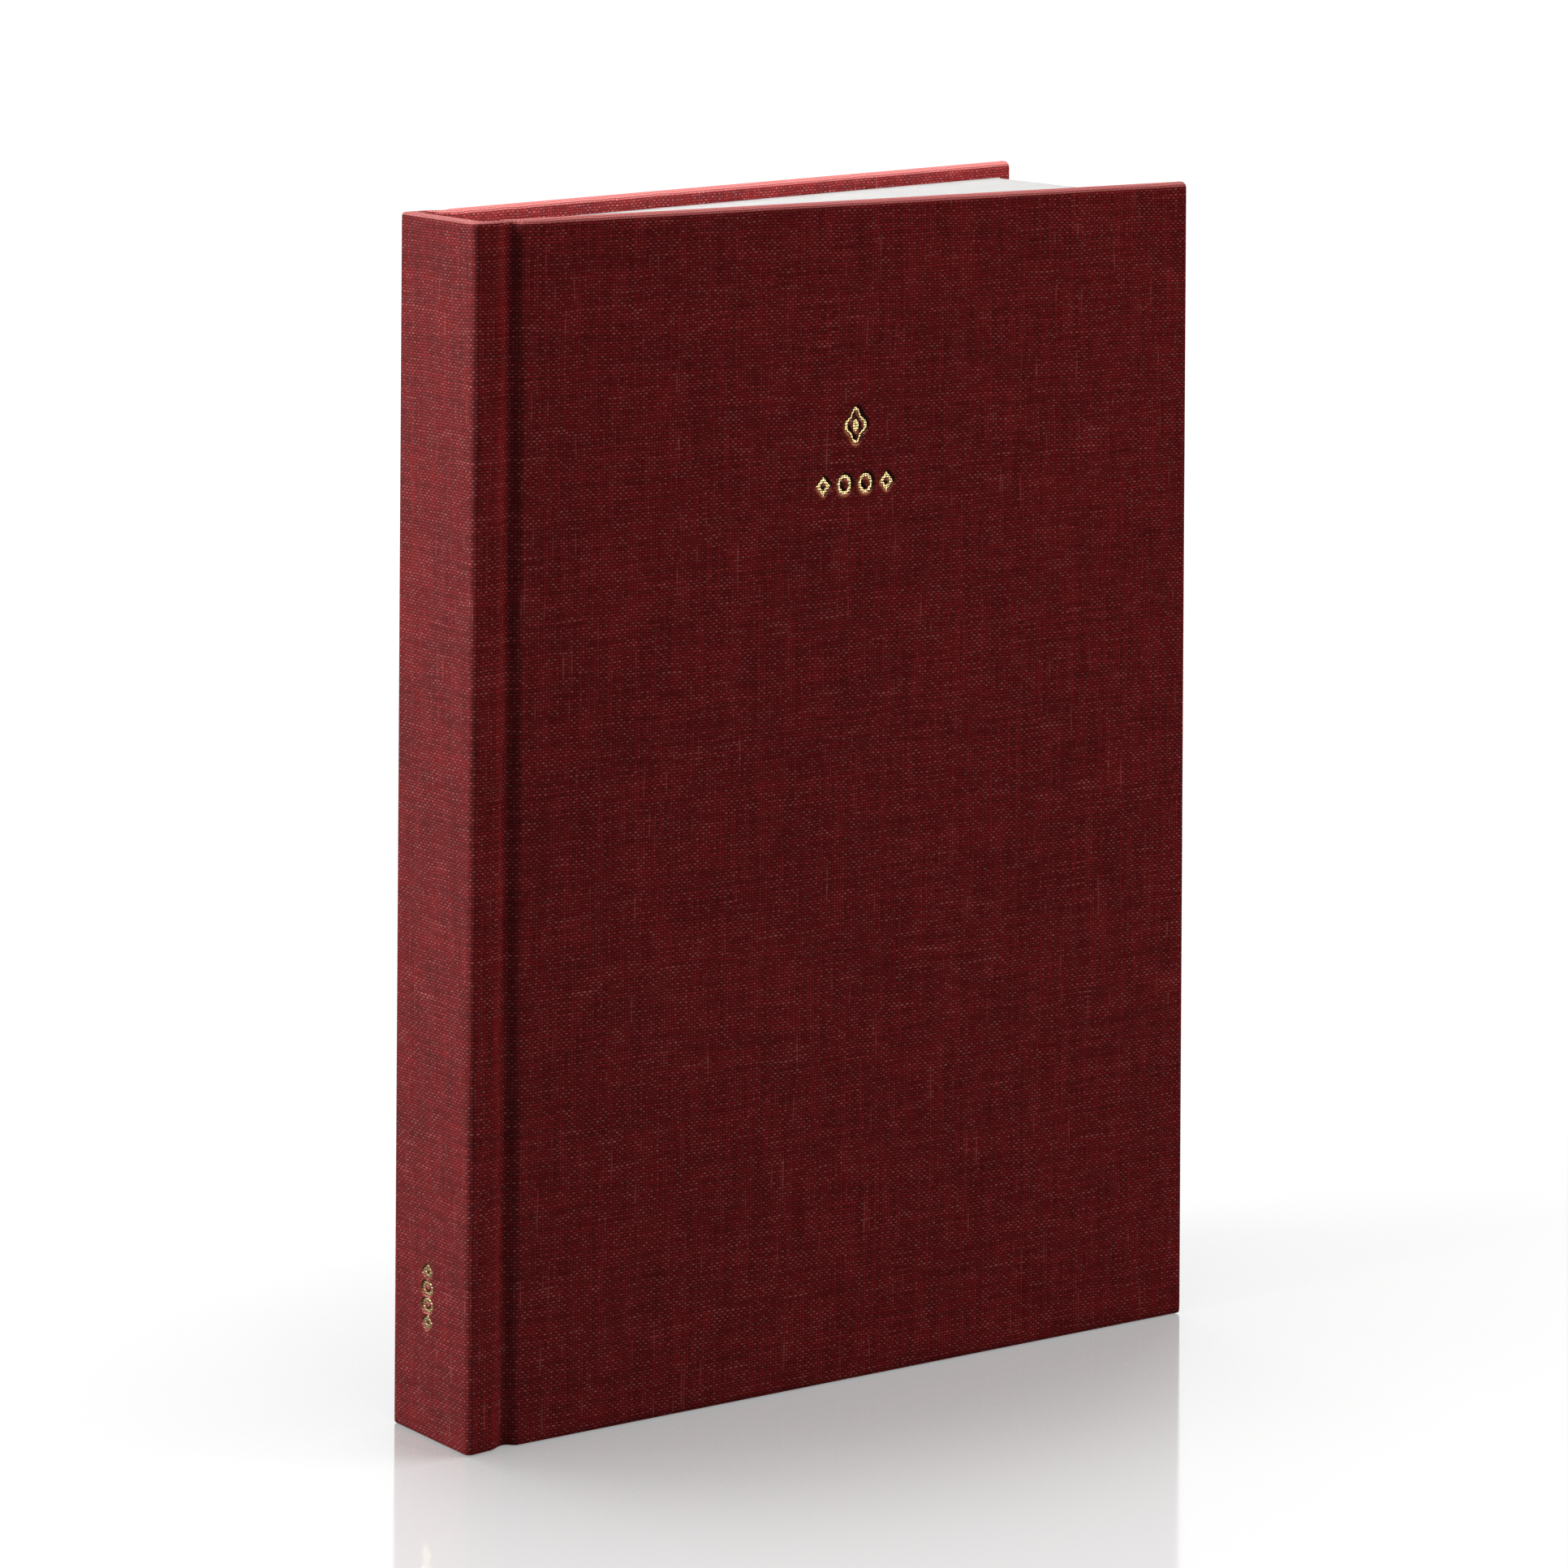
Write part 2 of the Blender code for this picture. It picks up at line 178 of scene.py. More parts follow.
WARP, WEFT = 0.575, 0.5

# Runs of mesh stations: where the stamping is, and where the turned-in cloth ends.
STAMPED_X, STAMPED_Z, STAMP_STEP = (70.6, 91.0), (160.6, 180.2), 0.15
SPINE_STAMPED_Z, SPINE_STAMP_HALF, SPINE_STAMP_STEP = (17.0, 32.6), 2.6, 0.2
HINGE_RUN_END = 12.0
CLOTH_STEP_X, CLOTH_STEP_TAIL, CLOTH_STEP_HEAD = (139.0, 142.0), (14.0, 16.6), (199.4, 202.0)
PAPER_STEP_TAIL, PAPER_STEP_HEAD = (14.6, 16.2), (199.8, 201.4)


def smooth(t):
    t = np.clip(t, 0.0, 1.0)
    return t * t * (3 - 2 * t)


def smoother(t):
    t = np.clip(t, 0.0, 1.0)
    return t * t * t * (t * (6 * t - 15) + 10)


def stations(*spans):
    """Stations along a line: each span is (start, end, step), and they follow one another."""
    values = []
    for start, end, step in spans:
        count = max(1, round((end - start) / step))
        values.extend(np.linspace(start, end, count, endpoint=False))
    values.append(spans[-1][1])
    return np.array(values)


# ---------------------------------------------------------------- meshes
def new_piece(name, points, faces, corners, material, sharp=40.0):
    """A mesh object from row-frame points, quads and one texture place for each corner, in mm."""
    first = points[faces[:, 0]]
    volume = 0.0
    for a, b in ((1, 2), (2, 3)):
        volume += np.einsum("ij,ij->i", first, np.cross(points[faces[:, a]], points[faces[:, b]])).sum()
    if volume < 0:
        faces, corners = faces[:, ::-1], corners[:, ::-1]
    mesh = bpy.data.meshes.new(name)
    mesh.from_pydata(points.tolist(), [], faces.tolist())
    layer = mesh.uv_layers.new(name="cloth")
    layer.data.foreach_set("uv", np.ascontiguousarray(corners, np.float32).ravel())
    mesh.materials.append(material)
    mesh.shade_smooth()
    mesh.set_sharp_from_angle(angle=math.radians(sharp))
    obj = bpy.data.objects.new(name, mesh)
    bpy.context.scene.collection.objects.link(obj)
    return obj


def ring_quads(rows, count, closed_rows=False):
    row = np.arange(rows if closed_rows else rows - 1)[:, None]
    here = np.arange(count)[None, :]
    beside = (here + 1) % count
    above = (row + 1) % rows
    low, high = row * count, above * count
    return np.stack((low + here, low + beside, high + beside, high + here), -1).reshape(-1, 4)


def sandwich(outer, inner, outer_uv, inner_uv):
    """Points, quads and corners of a closed solid between two matched grids (rows, stations, 3)."""
    rows, count = outer.shape[:2]
    ring = 2 * count
    points = np.concatenate((outer, inner[:, ::-1]), 1)
    uv = np.concatenate((outer_uv, inner_uv[:, ::-1]), 1)
    faces = ring_quads(rows, ring)
    corners = uv.reshape(-1, 2)[faces]
    here, ahead = np.arange(count - 1), np.arange(1, count)
    for row, first, second, outward in ((0, ahead, here, -1), (rows - 1, here, ahead, 1)):
        rim = np.stack((first, second, ring - 1 - second, ring - 1 - first), -1)
        near = outer_uv[row]
        thick = np.linalg.norm(outer[row] - inner[row], axis=-1)
        far = near + np.stack((np.zeros(count), thick * outward), -1)
        faces = np.concatenate((faces, row * ring + rim))
        corners = np.concatenate((corners, np.stack((near[first], near[second], far[second], far[first]), 1)))
    return points.reshape(-1, 3), faces, corners


def path_normals(path):
    """Unit normals to the left of a plan path."""
    run = np.gradient(path, axis=0)
    run /= np.linalg.norm(run, axis=1)[:, None]
    return np.stack((-run[:, 1], run[:, 0]), -1)


def along(path):
    """Distance travelled along a plan path."""
    steps = np.linalg.norm(np.diff(path, axis=0), axis=1)
    return np.concatenate(((0.0,), np.cumsum(steps)))


def cloth_slab(outer, inner, z_rows, head_round, outer_relief, inner_relief):
    """Grids and uvs of a cloth-covered slab, from matched plan paths, with head and tail edges rounded."""
    outer_out = path_normals(outer)
    inner_out = -path_normals(inner)
    half_thick = 0.48 * np.linalg.norm(outer - inner, axis=1)
    rims = {"tail": np.minimum(TAIL_ROUND, half_thick), "head": np.minimum(head_round, half_thick)}
    outer_u = along(outer)
    inner_u = outer_u[-1] + np.linalg.norm(outer[-1] - inner[-1]) + (along(inner)[-1] - along(inner))
    lean = np.linspace(90, 0, RIM_STEPS, endpoint=False)
    rows = [("tail", math.radians(a)) for a in lean] + [("face", z) for z in z_rows]
    rows += [("head", math.radians(a)) for a in lean[::-1]]
    grids = ([], [], [], [])
    for kind, value in rows:
        if kind == "face":
            inset, z, v = 0 * half_thick, value + 0 * half_thick, value + 0 * half_thick
        else:
            rim = rims[kind]
            inset = rim * (1 - math.cos(value))
            z, v = rim * (1 - math.sin(value)), rim * (1 - value)
            if kind == "head":
                z, v = HEIGHT - z, HEIGHT - v
        for path, out, relief, u, grid, uv_grid in (
            (outer, outer_out, outer_relief, outer_u, grids[0], grids[2]),
            (inner, inner_out, inner_relief, inner_u, grids[1], grids[3]),
        ):
            sunk = inset + relief(path, z)
            grid.append(np.column_stack((path - out * sunk[:, None], z)))
            uv_grid.append(np.column_stack((u, v)))
    return [np.array(grid) for grid in grids]


def round_corners(points):
    """Pulls the corners of a cover in to an arc, where fore-edge meets head and tail."""
    x0, r = COVER_EDGE - BOARD_CORNER, BOARD_CORNER
    p = np.clip((points[..., 0] - x0) / r, 0, 1)
    rise = (points[..., 2] - HEIGHT / 2) / (HEIGHT / 2)
    q = np.clip((np.abs(points[..., 2] - HEIGHT / 2) - (HEIGHT / 2 - r)) / r, 0, 1)
    both = (p > 0) & (q > 0)
    out = points.copy()
    out[..., 0] = np.where(both, x0 + r * p * np.sqrt(1 - q * q / 2), points[..., 0])
    tip = HEIGHT / 2 - r + r * q * np.sqrt(1 - p * p / 2)
    out[..., 2] = np.where(both, HEIGHT / 2 + np.sign(rise) * tip, points[..., 2])
    return out


def share_of_cover(x):
    """How far cloth and endpaper at x follow the cover."""
    return smooth((x - SPLIT) / HINGE_REACH)


def set_shares(obj):
    """Bakes the piece's placement into its mesh."""
    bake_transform(obj)


# ---------------------------------------------------------------- stamped figures
def lozenge(size, inset):
    half = np.array(size) / 2
    half = half * (1 - inset * np.hypot(*half) / (half[0] * half[1]))
    tips = np.array(((1, 0), (0, 1), (-1, 0), (0, -1), (1, 0))) * half
    steps = np.linspace(0, 1, 10, endpoint=False)[:, None]
    return np.concatenate([tips[i] * (1 - steps) + tips[i + 1] * steps for i in range(4)])


def oval(size, inset):
    angle = np.linspace(0, math.tau, 48, endpoint=False)
    return np.column_stack((np.cos(angle) * (size[0] / 2 - inset), np.sin(angle) * (size[1] / 2 - inset)))


QUATREFOIL_REACH, QUATREFOIL_WAVE = 0.85, 0.15


def quatrefoil(size, inset):
    angle = np.linspace(0, math.tau, 96, endpoint=False)
    reach = QUATREFOIL_REACH + QUATREFOIL_WAVE * np.cos(4 * angle)
    return np.column_stack(((size[0] / 2 - inset) * reach * np.cos(angle),
                            (size[1] / 2 - inset) * reach * np.sin(angle)))


MARKS = (lozenge, oval, oval, lozenge)
EMBLEM_SIZE, CORE_SIZE, MARK_SIZE, SPINE_MARK_SIZE = (4.8, 6.7), (1.3, 2.3), (3.0, 3.6), (2.55, 3.06)


def figure_lines(figures):
    """The middle line of each figure's stroke, as (across, z) points in place."""
    return [figure(size, STROKE / 2) + middle for figure, size, middle in figures]


def stamped_share(lines, across, z, reach):
    """1 under the stamped strokes, falling to 0 over this reach beside them."""
    nearest = np.full(across.shape, 9.0)
    for line in lines:
        low, high = line.min(0) - FIGURE_MARGIN, line.max(0) + FIGURE_MARGIN
        near = (across > low[0]) & (across < high[0]) & (z > low[1]) & (z < high[1])
        if not near.any():
            continue
        spot = np.column_stack((across[near], z[near]))
        start, end = line, np.roll(line, -1, 0)
        run = end - start
        t = np.einsum("pij,ij->pi", spot[:, None] - start[None], run) / (run * run).sum(1)
        gap = spot[:, None] - (start[None] + np.clip(t, 0, 1)[..., None] * run[None])
        nearest[near] = np.minimum(nearest[near], np.sqrt((gap * gap).sum(-1)).min(1))
    return 1 - smooth((nearest - STROKE / 2 - STROKE_MARGIN) / reach)


def deboss(lines, across, z):
    """How deep the stamping has pressed the cloth at each point."""
    return DEBOSS * stamped_share(lines, across, z, DEBOSS_REACH)


def shade_stamping(obj, lines, across, z, outside, shade_shift, glow_shift):
    """Attributes for the cloth: painted shade on the pressed edges of the strokes, and a painted orange glow
    beside them, standing for light thrown off the gold.
    """
    for name, shift, reach in (("pressed", shade_shift, SHADE_REACH), ("gilt_dust", glow_shift, GLOW_REACH)):
        share = stamped_share([line + shift for line in lines], across, z, reach) * outside
        layer = obj.data.attributes.new(name, "FLOAT", "POINT")
        layer.data.foreach_set("value", share.astype(np.float32))


FRONT_FIGURES = [(quatrefoil, EMBLEM_SIZE, closed_middle("emblem_foil", FRONT)[[0, 2]]),
                 (oval, CORE_SIZE, closed_middle("emblem_core_foil", FRONT)[[0, 2]])]
FRONT_FIGURES += [(mark, MARK_SIZE, closed_middle(f"cover_foil_{i + 1}", FRONT)[[0, 2]])
                  for i, mark in enumerate(MARKS)]
SPINE_FIGURES = [(mark, SPINE_MARK_SIZE, closed_middle(f"spine_foil_{i + 1}")[[2, 1]])
                 for i, mark in enumerate(MARKS)]


# ---------------------------------------------------------------- materials
class Nodes:
    """Short ways to build a material's nodes."""

    def __init__(self, name):
        self.material = bpy.data.materials.new(name)
        self.material.use_nodes = True
        self.tree = self.material.node_tree
        self.surface = self.tree.nodes["Principled BSDF"]
        self.output = self.tree.nodes["Material Output"]

    def put(self, socket, value):
        if isinstance(value, bpy.types.NodeSocket):
            self.tree.links.new(value, socket)
        elif isinstance(value, tuple) and len(value) == 3 and socket.type == "RGBA":
            socket.default_value = (*value, 1.0)
        else:
            socket.default_value = value

    def math(self, operation, *values):
        node = self.tree.nodes.new("ShaderNodeMath")
        node.operation = operation
        for socket, value in zip(node.inputs, values):
            self.put(socket, value)
        return node.outputs[0]

    def add(self, a, b):
        return self.math("ADD", a, b)

    def sub(self, a, b):
        return self.math("SUBTRACT", a, b)

    def mul(self, a, b):
        return self.math("MULTIPLY", a, b)

    def ramp(self, value, low, high, start=0.0, end=1.0):
        """Smooth step from start to end as value goes from low to high."""
        node = self.tree.nodes.new("ShaderNodeMapRange")
        node.interpolation_type = "SMOOTHSTEP"
        for socket, number in zip(node.inputs, (value, low, high, start, end)):
            self.put(socket, number)
        return node.outputs[0]

    def vector(self, x, y, z=0.0):
        node = self.tree.nodes.new("ShaderNodeCombineXYZ")
        for socket, value in zip(node.inputs, (x, y, z)):
            self.put(socket, value)
        return node.outputs[0]

    def parts(self, vector):
        node = self.tree.nodes.new("ShaderNodeSeparateXYZ")
        self.put(node.inputs[0], vector)
        return node.outputs

    def attribute(self, name):
        node = self.tree.nodes.new("ShaderNodeAttribute")
        node.attribute_name = name
        return node.outputs["Fac"]

    def uv(self):
        node = self.tree.nodes.new("ShaderNodeUVMap")
        node.uv_map = "cloth"
        return node.outputs[0]

    def place(self):
        """The piece's own coordinates, in mm."""
        coordinates = self.tree.nodes.new("ShaderNodeTexCoord").outputs["Object"]
        node = self.tree.nodes.new("ShaderNodeVectorMath")
        node.operation = "SCALE"
        self.put(node.inputs[0], coordinates)
        node.inputs["Scale"].default_value = MM
        return node.outputs[0]

    def noise(self, vector, scale=1.0, detail=2.0, rough=0.5):
        node = self.tree.nodes.new("ShaderNodeTexNoise")
        self.put(node.inputs["Vector"], vector)
        node.inputs["Scale"].default_value = scale
        node.inputs["Detail"].default_value = detail
        node.inputs["Roughness"].default_value = rough
        return node.outputs["Fac"]

    def mix(self, share, a, b):
        node = self.tree.nodes.new("ShaderNodeMix")
        node.data_type = "RGBA"
        self.put(node.inputs[0], share)
        self.put(node.inputs[6], a)
        self.put(node.inputs[7], b)
        return node.outputs[2]

    def scaled(self, colour, factor):
        node = self.tree.nodes.new("ShaderNodeVectorMath")
        node.operation = "SCALE"
        self.put(node.inputs[0], colour)
        self.put(node.inputs["Scale"], factor)
        return node.outputs[0]

    def bump(self, height, depth_mm, strength=1.0):
        node = self.tree.nodes.new("ShaderNodeBump")
        self.put(node.inputs["Height"], height)
        node.inputs["Distance"].default_value = depth_mm / MM
        node.inputs["Strength"].default_value = strength
        self.put(self.surface.inputs["Normal"], node.outputs[0])

    def finish(self, **inputs):
        for name, value in inputs.items():
            self.put(self.surface.inputs[name.replace("_", " ")], value)
        return self.material


def weave(net, wander=0.16):
    """Plain weave over the cloth's own mm grid: returns height, weft share, holes and the thread tones."""
    u, v, _ = net.parts(net.uv())
    drift = net.vector(net.mul(u, 0.11), net.mul(v, 0.11), 3.0)
    sway = net.vector(net.mul(u, 0.13), net.mul(v, 0.13), 11.0)
    u = net.add(u, net.mul(net.sub(net.noise(drift), 0.5), wander * 6))
    v = net.add(v, net.mul(net.sub(net.noise(sway), 0.5), wander * 6))
    warp_at, weft_at = net.mul(u, 1 / WARP), net.mul(v, 1 / WEFT)
    warp_id, weft_id = net.math("FLOOR", warp_at), net.math("FLOOR", weft_at)
    across_warp = net.math("ABSOLUTE", net.math("SINE", net.mul(warp_at, math.pi)))
    across_weft = net.math("ABSOLUTE", net.math("SINE", net.mul(weft_at, math.pi)))
    weft_phase = net.mul(net.add(net.sub(warp_at, 0.5), weft_id), math.pi)
    warp_phase = net.mul(net.add(net.add(weft_at, 0.5), warp_id), math.pi)
    weft_rise = net.add(net.mul(net.math("COSINE", weft_phase), 0.5), 0.5)
    warp_rise = net.add(net.mul(net.math("COSINE", warp_phase), 0.5), 0.5)
    weft_high = net.mul(net.math("POWER", across_weft, 0.6), net.add(net.mul(weft_rise, 0.62), 0.38))
    warp_high = net.mul(net.math("POWER", across_warp, 0.6), net.add(net.mul(warp_rise, 0.7), 0.2))
    height = net.math("MAXIMUM", weft_high, warp_high)
    on_top = net.ramp(net.sub(weft_high, warp_high), -0.08, 0.08)
    gap = net.mul(net.sub(1.0, across_warp), net.sub(1.0, across_weft))
    holes = net.ramp(gap, 0.12, 0.42)
    weft_tone = net.noise(net.vector(net.mul(u, 0.05), net.mul(weft_id, 1.73), 1.0), detail=1.0)
    warp_tone = net.noise(net.vector(net.mul(warp_id, 1.91), net.mul(v, 0.05), 7.0), detail=1.0)
    slub = net.noise(net.vector(net.mul(u, 0.22), net.mul(weft_id, 2.37), 4.0), detail=1.5)
    # Crowns of some weft floats: they carry the painted glints in the cloth's colour, and its glossier spots.
    crown = net.mul(net.math("POWER", weft_rise, 2.0), net.math("POWER", across_weft, 3.0))
    fleck = net.noise(net.vector(net.mul(warp_id, 7.31), net.mul(weft_id, 5.17), 13.0), detail=1.0)
    shine = net.mul(crown, net.ramp(fleck, 0.38, 0.78))
    long_weft = net.noise(net.vector(net.mul(u, 0.09), net.mul(weft_id, 5.31), 21.0), detail=1.0)
    long_warp = net.noise(net.vector(net.mul(warp_id, 4.73), net.mul(v, 0.09), 27.0), detail=1.0)
    return dict(u=u, v=v, height=height, weft=on_top, holes=holes,
                weft_tone=weft_tone, warp_tone=warp_tone, slub=slub, shine=shine,
                long_weft=long_weft, long_warp=long_warp)


CLOTH_WEFT_DARK, CLOTH_WEFT_LIGHT = (0.165, 0.0055, 0.0070), (0.295, 0.0150, 0.0170)
CLOTH_SLUB = (0.430, 0.085, 0.080)
# Painted highlight: the colour of glints on the weft crowns.
CLOTH_PAINTED_GLINT = (0.450, 0.160, 0.150)
# Painted light: the colour that up-facing cloth takes, as if lit from above.
CLOTH_PAINTED_TOP_LIGHT = (0.620, 0.185, 0.175)
CLOTH_WARP_DARK, CLOTH_WARP_LIGHT = (0.115, 0.0036, 0.0046), (0.220, 0.0095, 0.0110)
# Painted shade on the pressed edges, and a painted orange glow of light thrown off the gold.
CLOTH_PAINTED_SHADE, GILT_PAINTED_GLOW = (0.0100, 0.0012, 0.0014), (0.580, 0.200, 0.020)
CLOTH_HOLE = (0.012, 0.0015, 0.0020)
CLOTH_ROUGH, CLOTH_SPECULAR = (0.78, 0.42), (0.32, 0.8)


def bookcloth():
    net = Nodes("bookcloth")
    cloth = weave(net)
    weft = net.mix(net.ramp(cloth["weft_tone"], 0.30, 0.70), CLOTH_WEFT_DARK, CLOTH_WEFT_LIGHT)
    weft = net.mix(net.ramp(cloth["slub"], 0.52, 0.80, 0.0, 0.55), weft, CLOTH_SLUB)
    weft = net.mix(net.ramp(cloth["long_weft"], 0.64, 0.78, 0.0, 0.8), weft, CLOTH_SLUB)
    # Painted highlight: some weft crowns lighter, as glints of light on them.
    weft = net.mix(net.mul(cloth["shine"], 0.75), weft, CLOTH_PAINTED_GLINT)
    warp = net.mix(net.ramp(cloth["warp_tone"], 0.32, 0.68), CLOTH_WARP_DARK, CLOTH_WARP_LIGHT)
    warp = net.mix(net.ramp(cloth["long_warp"], 0.64, 0.80, 0.0, 0.6), warp, CLOTH_SLUB)
    colour = net.mix(cloth["weft"], warp, weft)
    colour = net.mix(net.mul(cloth["holes"], 0.96), colour, CLOTH_HOLE)
    mottle = net.noise(net.vector(cloth["u"], cloth["v"], 2.0), scale=0.16, detail=4.0, rough=0.6)
    colour = net.scaled(colour, net.ramp(mottle, 0.28, 0.72, 0.88, 1.12))
    # Painted light: an orange glow beside the gilt strokes, and painted shade on their pressed edges.
    colour = net.mix(net.mul(net.attribute("gilt_dust"), 0.32), colour, GILT_PAINTED_GLOW)
    colour = net.mix(net.mul(net.attribute("pressed"), 0.80), colour, CLOTH_PAINTED_SHADE)
    # Painted light: cloth facing up, the head edges most, lighter on its thread tops, as if lit from above.
    _, _, upward = net.parts(net.tree.nodes.new("ShaderNodeNewGeometry").outputs["True Normal"])
    painted_top_light = net.mul(net.ramp(upward, 0.05, 0.75), net.ramp(cloth["height"], 0.25, 0.85, 0.10, 1.0))
    colour = net.mix(painted_top_light, colour, CLOTH_PAINTED_TOP_LIGHT)
    net.bump(net.add(cloth["height"], net.mul(cloth["slub"], 0.5)), 0.10, 0.8)
    return net.finish(Base_Color=colour, Roughness=net.ramp(cloth["shine"], 0.0, 0.8, *CLOTH_ROUGH),
                      Specular_IOR_Level=net.ramp(cloth["shine"], 0.0, 0.8, *CLOTH_SPECULAR))


GOLD_DARK, GOLD_LIGHT, GOLD_WORN = (0.92, 0.66, 0.28), (1.00, 0.84, 0.48), (0.35, 0.14, 0.04)


def gold_foil():
    net = Nodes("gold_foil")
    cloth = weave(net)
    worn = net.noise(net.vector(cloth["u"], cloth["v"], 9.0), scale=2.2, detail=3.0)
    colour = net.mix(net.ramp(worn, 0.35, 0.65), GOLD_DARK, GOLD_LIGHT)
    colour = net.mix(net.mul(cloth["holes"], 0.55), colour, GOLD_WORN)
    net.bump(cloth["height"], 0.09, 1.0)
    return net.finish(Base_Color=colour, Metallic=1.0, Roughness=net.ramp(worn, 0.3, 0.7, 0.22, 0.34))


PAPER_DARK, PAPER_LIGHT = (0.885, 0.89, 0.885), (0.915, 0.915, 0.91)


def page_paper():
    net = Nodes("page_paper")
    place = net.place()
    x, y, z = net.parts(place)
    cloud = net.noise(place, scale=0.05, detail=3.0)
    fibre = net.noise(net.vector(net.mul(x, 3.0), net.mul(y, 3.0), net.mul(z, 0.8)), detail=3.0)
    colour = net.mix(net.ramp(cloud, 0.3, 0.7), PAPER_DARK, PAPER_LIGHT)
    colour = net.scaled(colour, net.ramp(fibre, 0.2, 0.8, 0.97, 1.02))
    net.bump(fibre, 0.012, 0.5)
    return net.finish(Base_Color=colour, Roughness=0.88, Specular_IOR_Level=0.25)


BOARD_DARK, BOARD_LIGHT = (0.27, 0.245, 0.21), (0.43, 0.40, 0.355)


def greyboard():
    net = Nodes("greyboard")
    place = net.place()
    x, y, z = net.parts(place)
    flecks = net.noise(net.vector(net.mul(x, 2.2), net.mul(y, 6.0), net.mul(z, 0.9)), detail=4.0, rough=0.7)
    colour = net.mix(net.ramp(flecks, 0.3, 0.7), BOARD_DARK, BOARD_LIGHT)
    net.bump(flecks, 0.05, 0.6)
    return net.finish(Base_Color=colour, Roughness=0.92, Specular_IOR_Level=0.2)


KRAFT_DARK, KRAFT_LIGHT, KRAFT_RIB = (0.38, 0.25, 0.14), (0.52, 0.36, 0.21), 0.9


def kraft_paper():
    net = Nodes("kraft_paper")
    place = net.place()
    x, y, z = net.parts(place)
    ribs = net.math("SINE", net.mul(z, math.tau / KRAFT_RIB))
    fibre = net.noise(net.vector(net.mul(x, 2.0), net.mul(y, 4.0), net.mul(z, 1.0)), detail=3.0)
    colour = net.mix(net.ramp(fibre, 0.3, 0.7), KRAFT_DARK, KRAFT_LIGHT)
    net.bump(net.add(net.mul(ribs, 0.3), fibre), 0.02, 0.6)
    return net.finish(Base_Color=colour, Roughness=0.85, Specular_IOR_Level=0.25)


GAUZE_GAP, GAUZE_THREAD, GAUZE_PITCH = (0.52, 0.47, 0.38), (0.80, 0.78, 0.71), 1.1


def mull_gauze():
    net = Nodes("mull_gauze")
    x, y, z = net.parts(net.place())
    across = net.math("ABSOLUTE", net.math("SINE", net.mul(net.add(x, y), math.pi / GAUZE_PITCH)))
    up = net.math("ABSOLUTE", net.math("SINE", net.mul(z, math.pi / GAUZE_PITCH)))
    threads = net.math("MAXIMUM", net.ramp(across, 0.8, 0.97), net.ramp(up, 0.8, 0.97))
    colour = net.mix(threads, GAUZE_GAP, GAUZE_THREAD)
    net.bump(threads, 0.12, 0.8)
    return net.finish(Base_Color=colour, Roughness=0.9, Specular_IOR_Level=0.2, Sheen_Weight=0.2)


THREAD_DARK, THREAD_LIGHT, THREAD_TWIST = (0.60, 0.55, 0.44), (0.84, 0.80, 0.70), 0.55


def linen_thread():
    net = Nodes("linen_thread")
    x, y, z = net.parts(net.place())
    twist = net.math("SINE", net.mul(net.add(y, net.mul(net.add(x, z), 1.6)), math.tau / THREAD_TWIST))
    colour = net.mix(net.ramp(twist, -0.6, 0.6), THREAD_DARK, THREAD_LIGHT)
    net.bump(twist, 0.05, 0.7)
    return net.finish(Base_Color=colour, Roughness=0.6, Specular_IOR_Level=0.4)


BAND_PITCH, BAND_BEAD, BAND_TAPE = 1.3, 0.5, 0.22
BAND_SWELL, BAND_SEAM, BAND_STRAND = 0.09, 0.02, 0.22
SILK_RED, SILK_WHITE = (0.36, 0.030, 0.034), (0.82, 0.79, 0.70)


def band_silk():
    net = Nodes("band_silk")
    x, y, z = net.parts(net.place())
    wrap = net.math("SINE", net.mul(y, math.tau / BAND_PITCH))
    strands = net.math("SINE", net.mul(net.add(y, net.mul(z, 0.15)), math.tau / BAND_STRAND))
    colour = net.mix(net.ramp(wrap, -0.12, 0.12), SILK_RED, SILK_WHITE)
    colour = net.scaled(colour, net.ramp(strands, -1.0, 1.0, 0.78, 1.08))
    net.bump(strands, 0.03, 0.8)
    return net.finish(Base_Color=colour, Roughness=0.48, Sheen_Weight=0.4, Specular_IOR_Level=0.5)


BOOKCLOTH, GOLD, PAGE = bookcloth(), gold_foil(), page_paper()
SILK = band_silk()
CAD_FINISH = {"greyboard": greyboard(), "kraft_paper": kraft_paper(), "mull_gauze": mull_gauze(),
              "linen_thread": linen_thread(), "bookcloth": BOOKCLOTH, "gold_foil": GOLD,
              "page_paper": PAGE, "band_silk": SILK}


# ---------------------------------------------------------------- the case
def case_depth(x):
    """Distance from the middle plane to the cloth's outer face: spine edge bead, French groove, board."""
    fall = smooth((x - BEAD_END) / (GROOVE_FLOOR - BEAD_END))
    rise = smooth((BOARD_START - x) / (BOARD_START - GROOVE_FLOOR))
    return HALF - GROOVE_DEEP * np.minimum(fall, rise)


def inside_depth(x):
    """Distance from the middle plane to the case's inner face: glued to the shoulder, then the board."""
    return COVER_INNER + (GLUED_DEPTH - COVER_INNER) * (1 - smoother((x - SPLIT) / GLUE_REACH))


def arc_points(middle, radius, start, end, steps):
    angle = np.radians(np.linspace(start, end, steps + 1))
    return np.column_stack((middle[0] + radius * np.cos(angle), middle[1] + radius * np.sin(angle)))


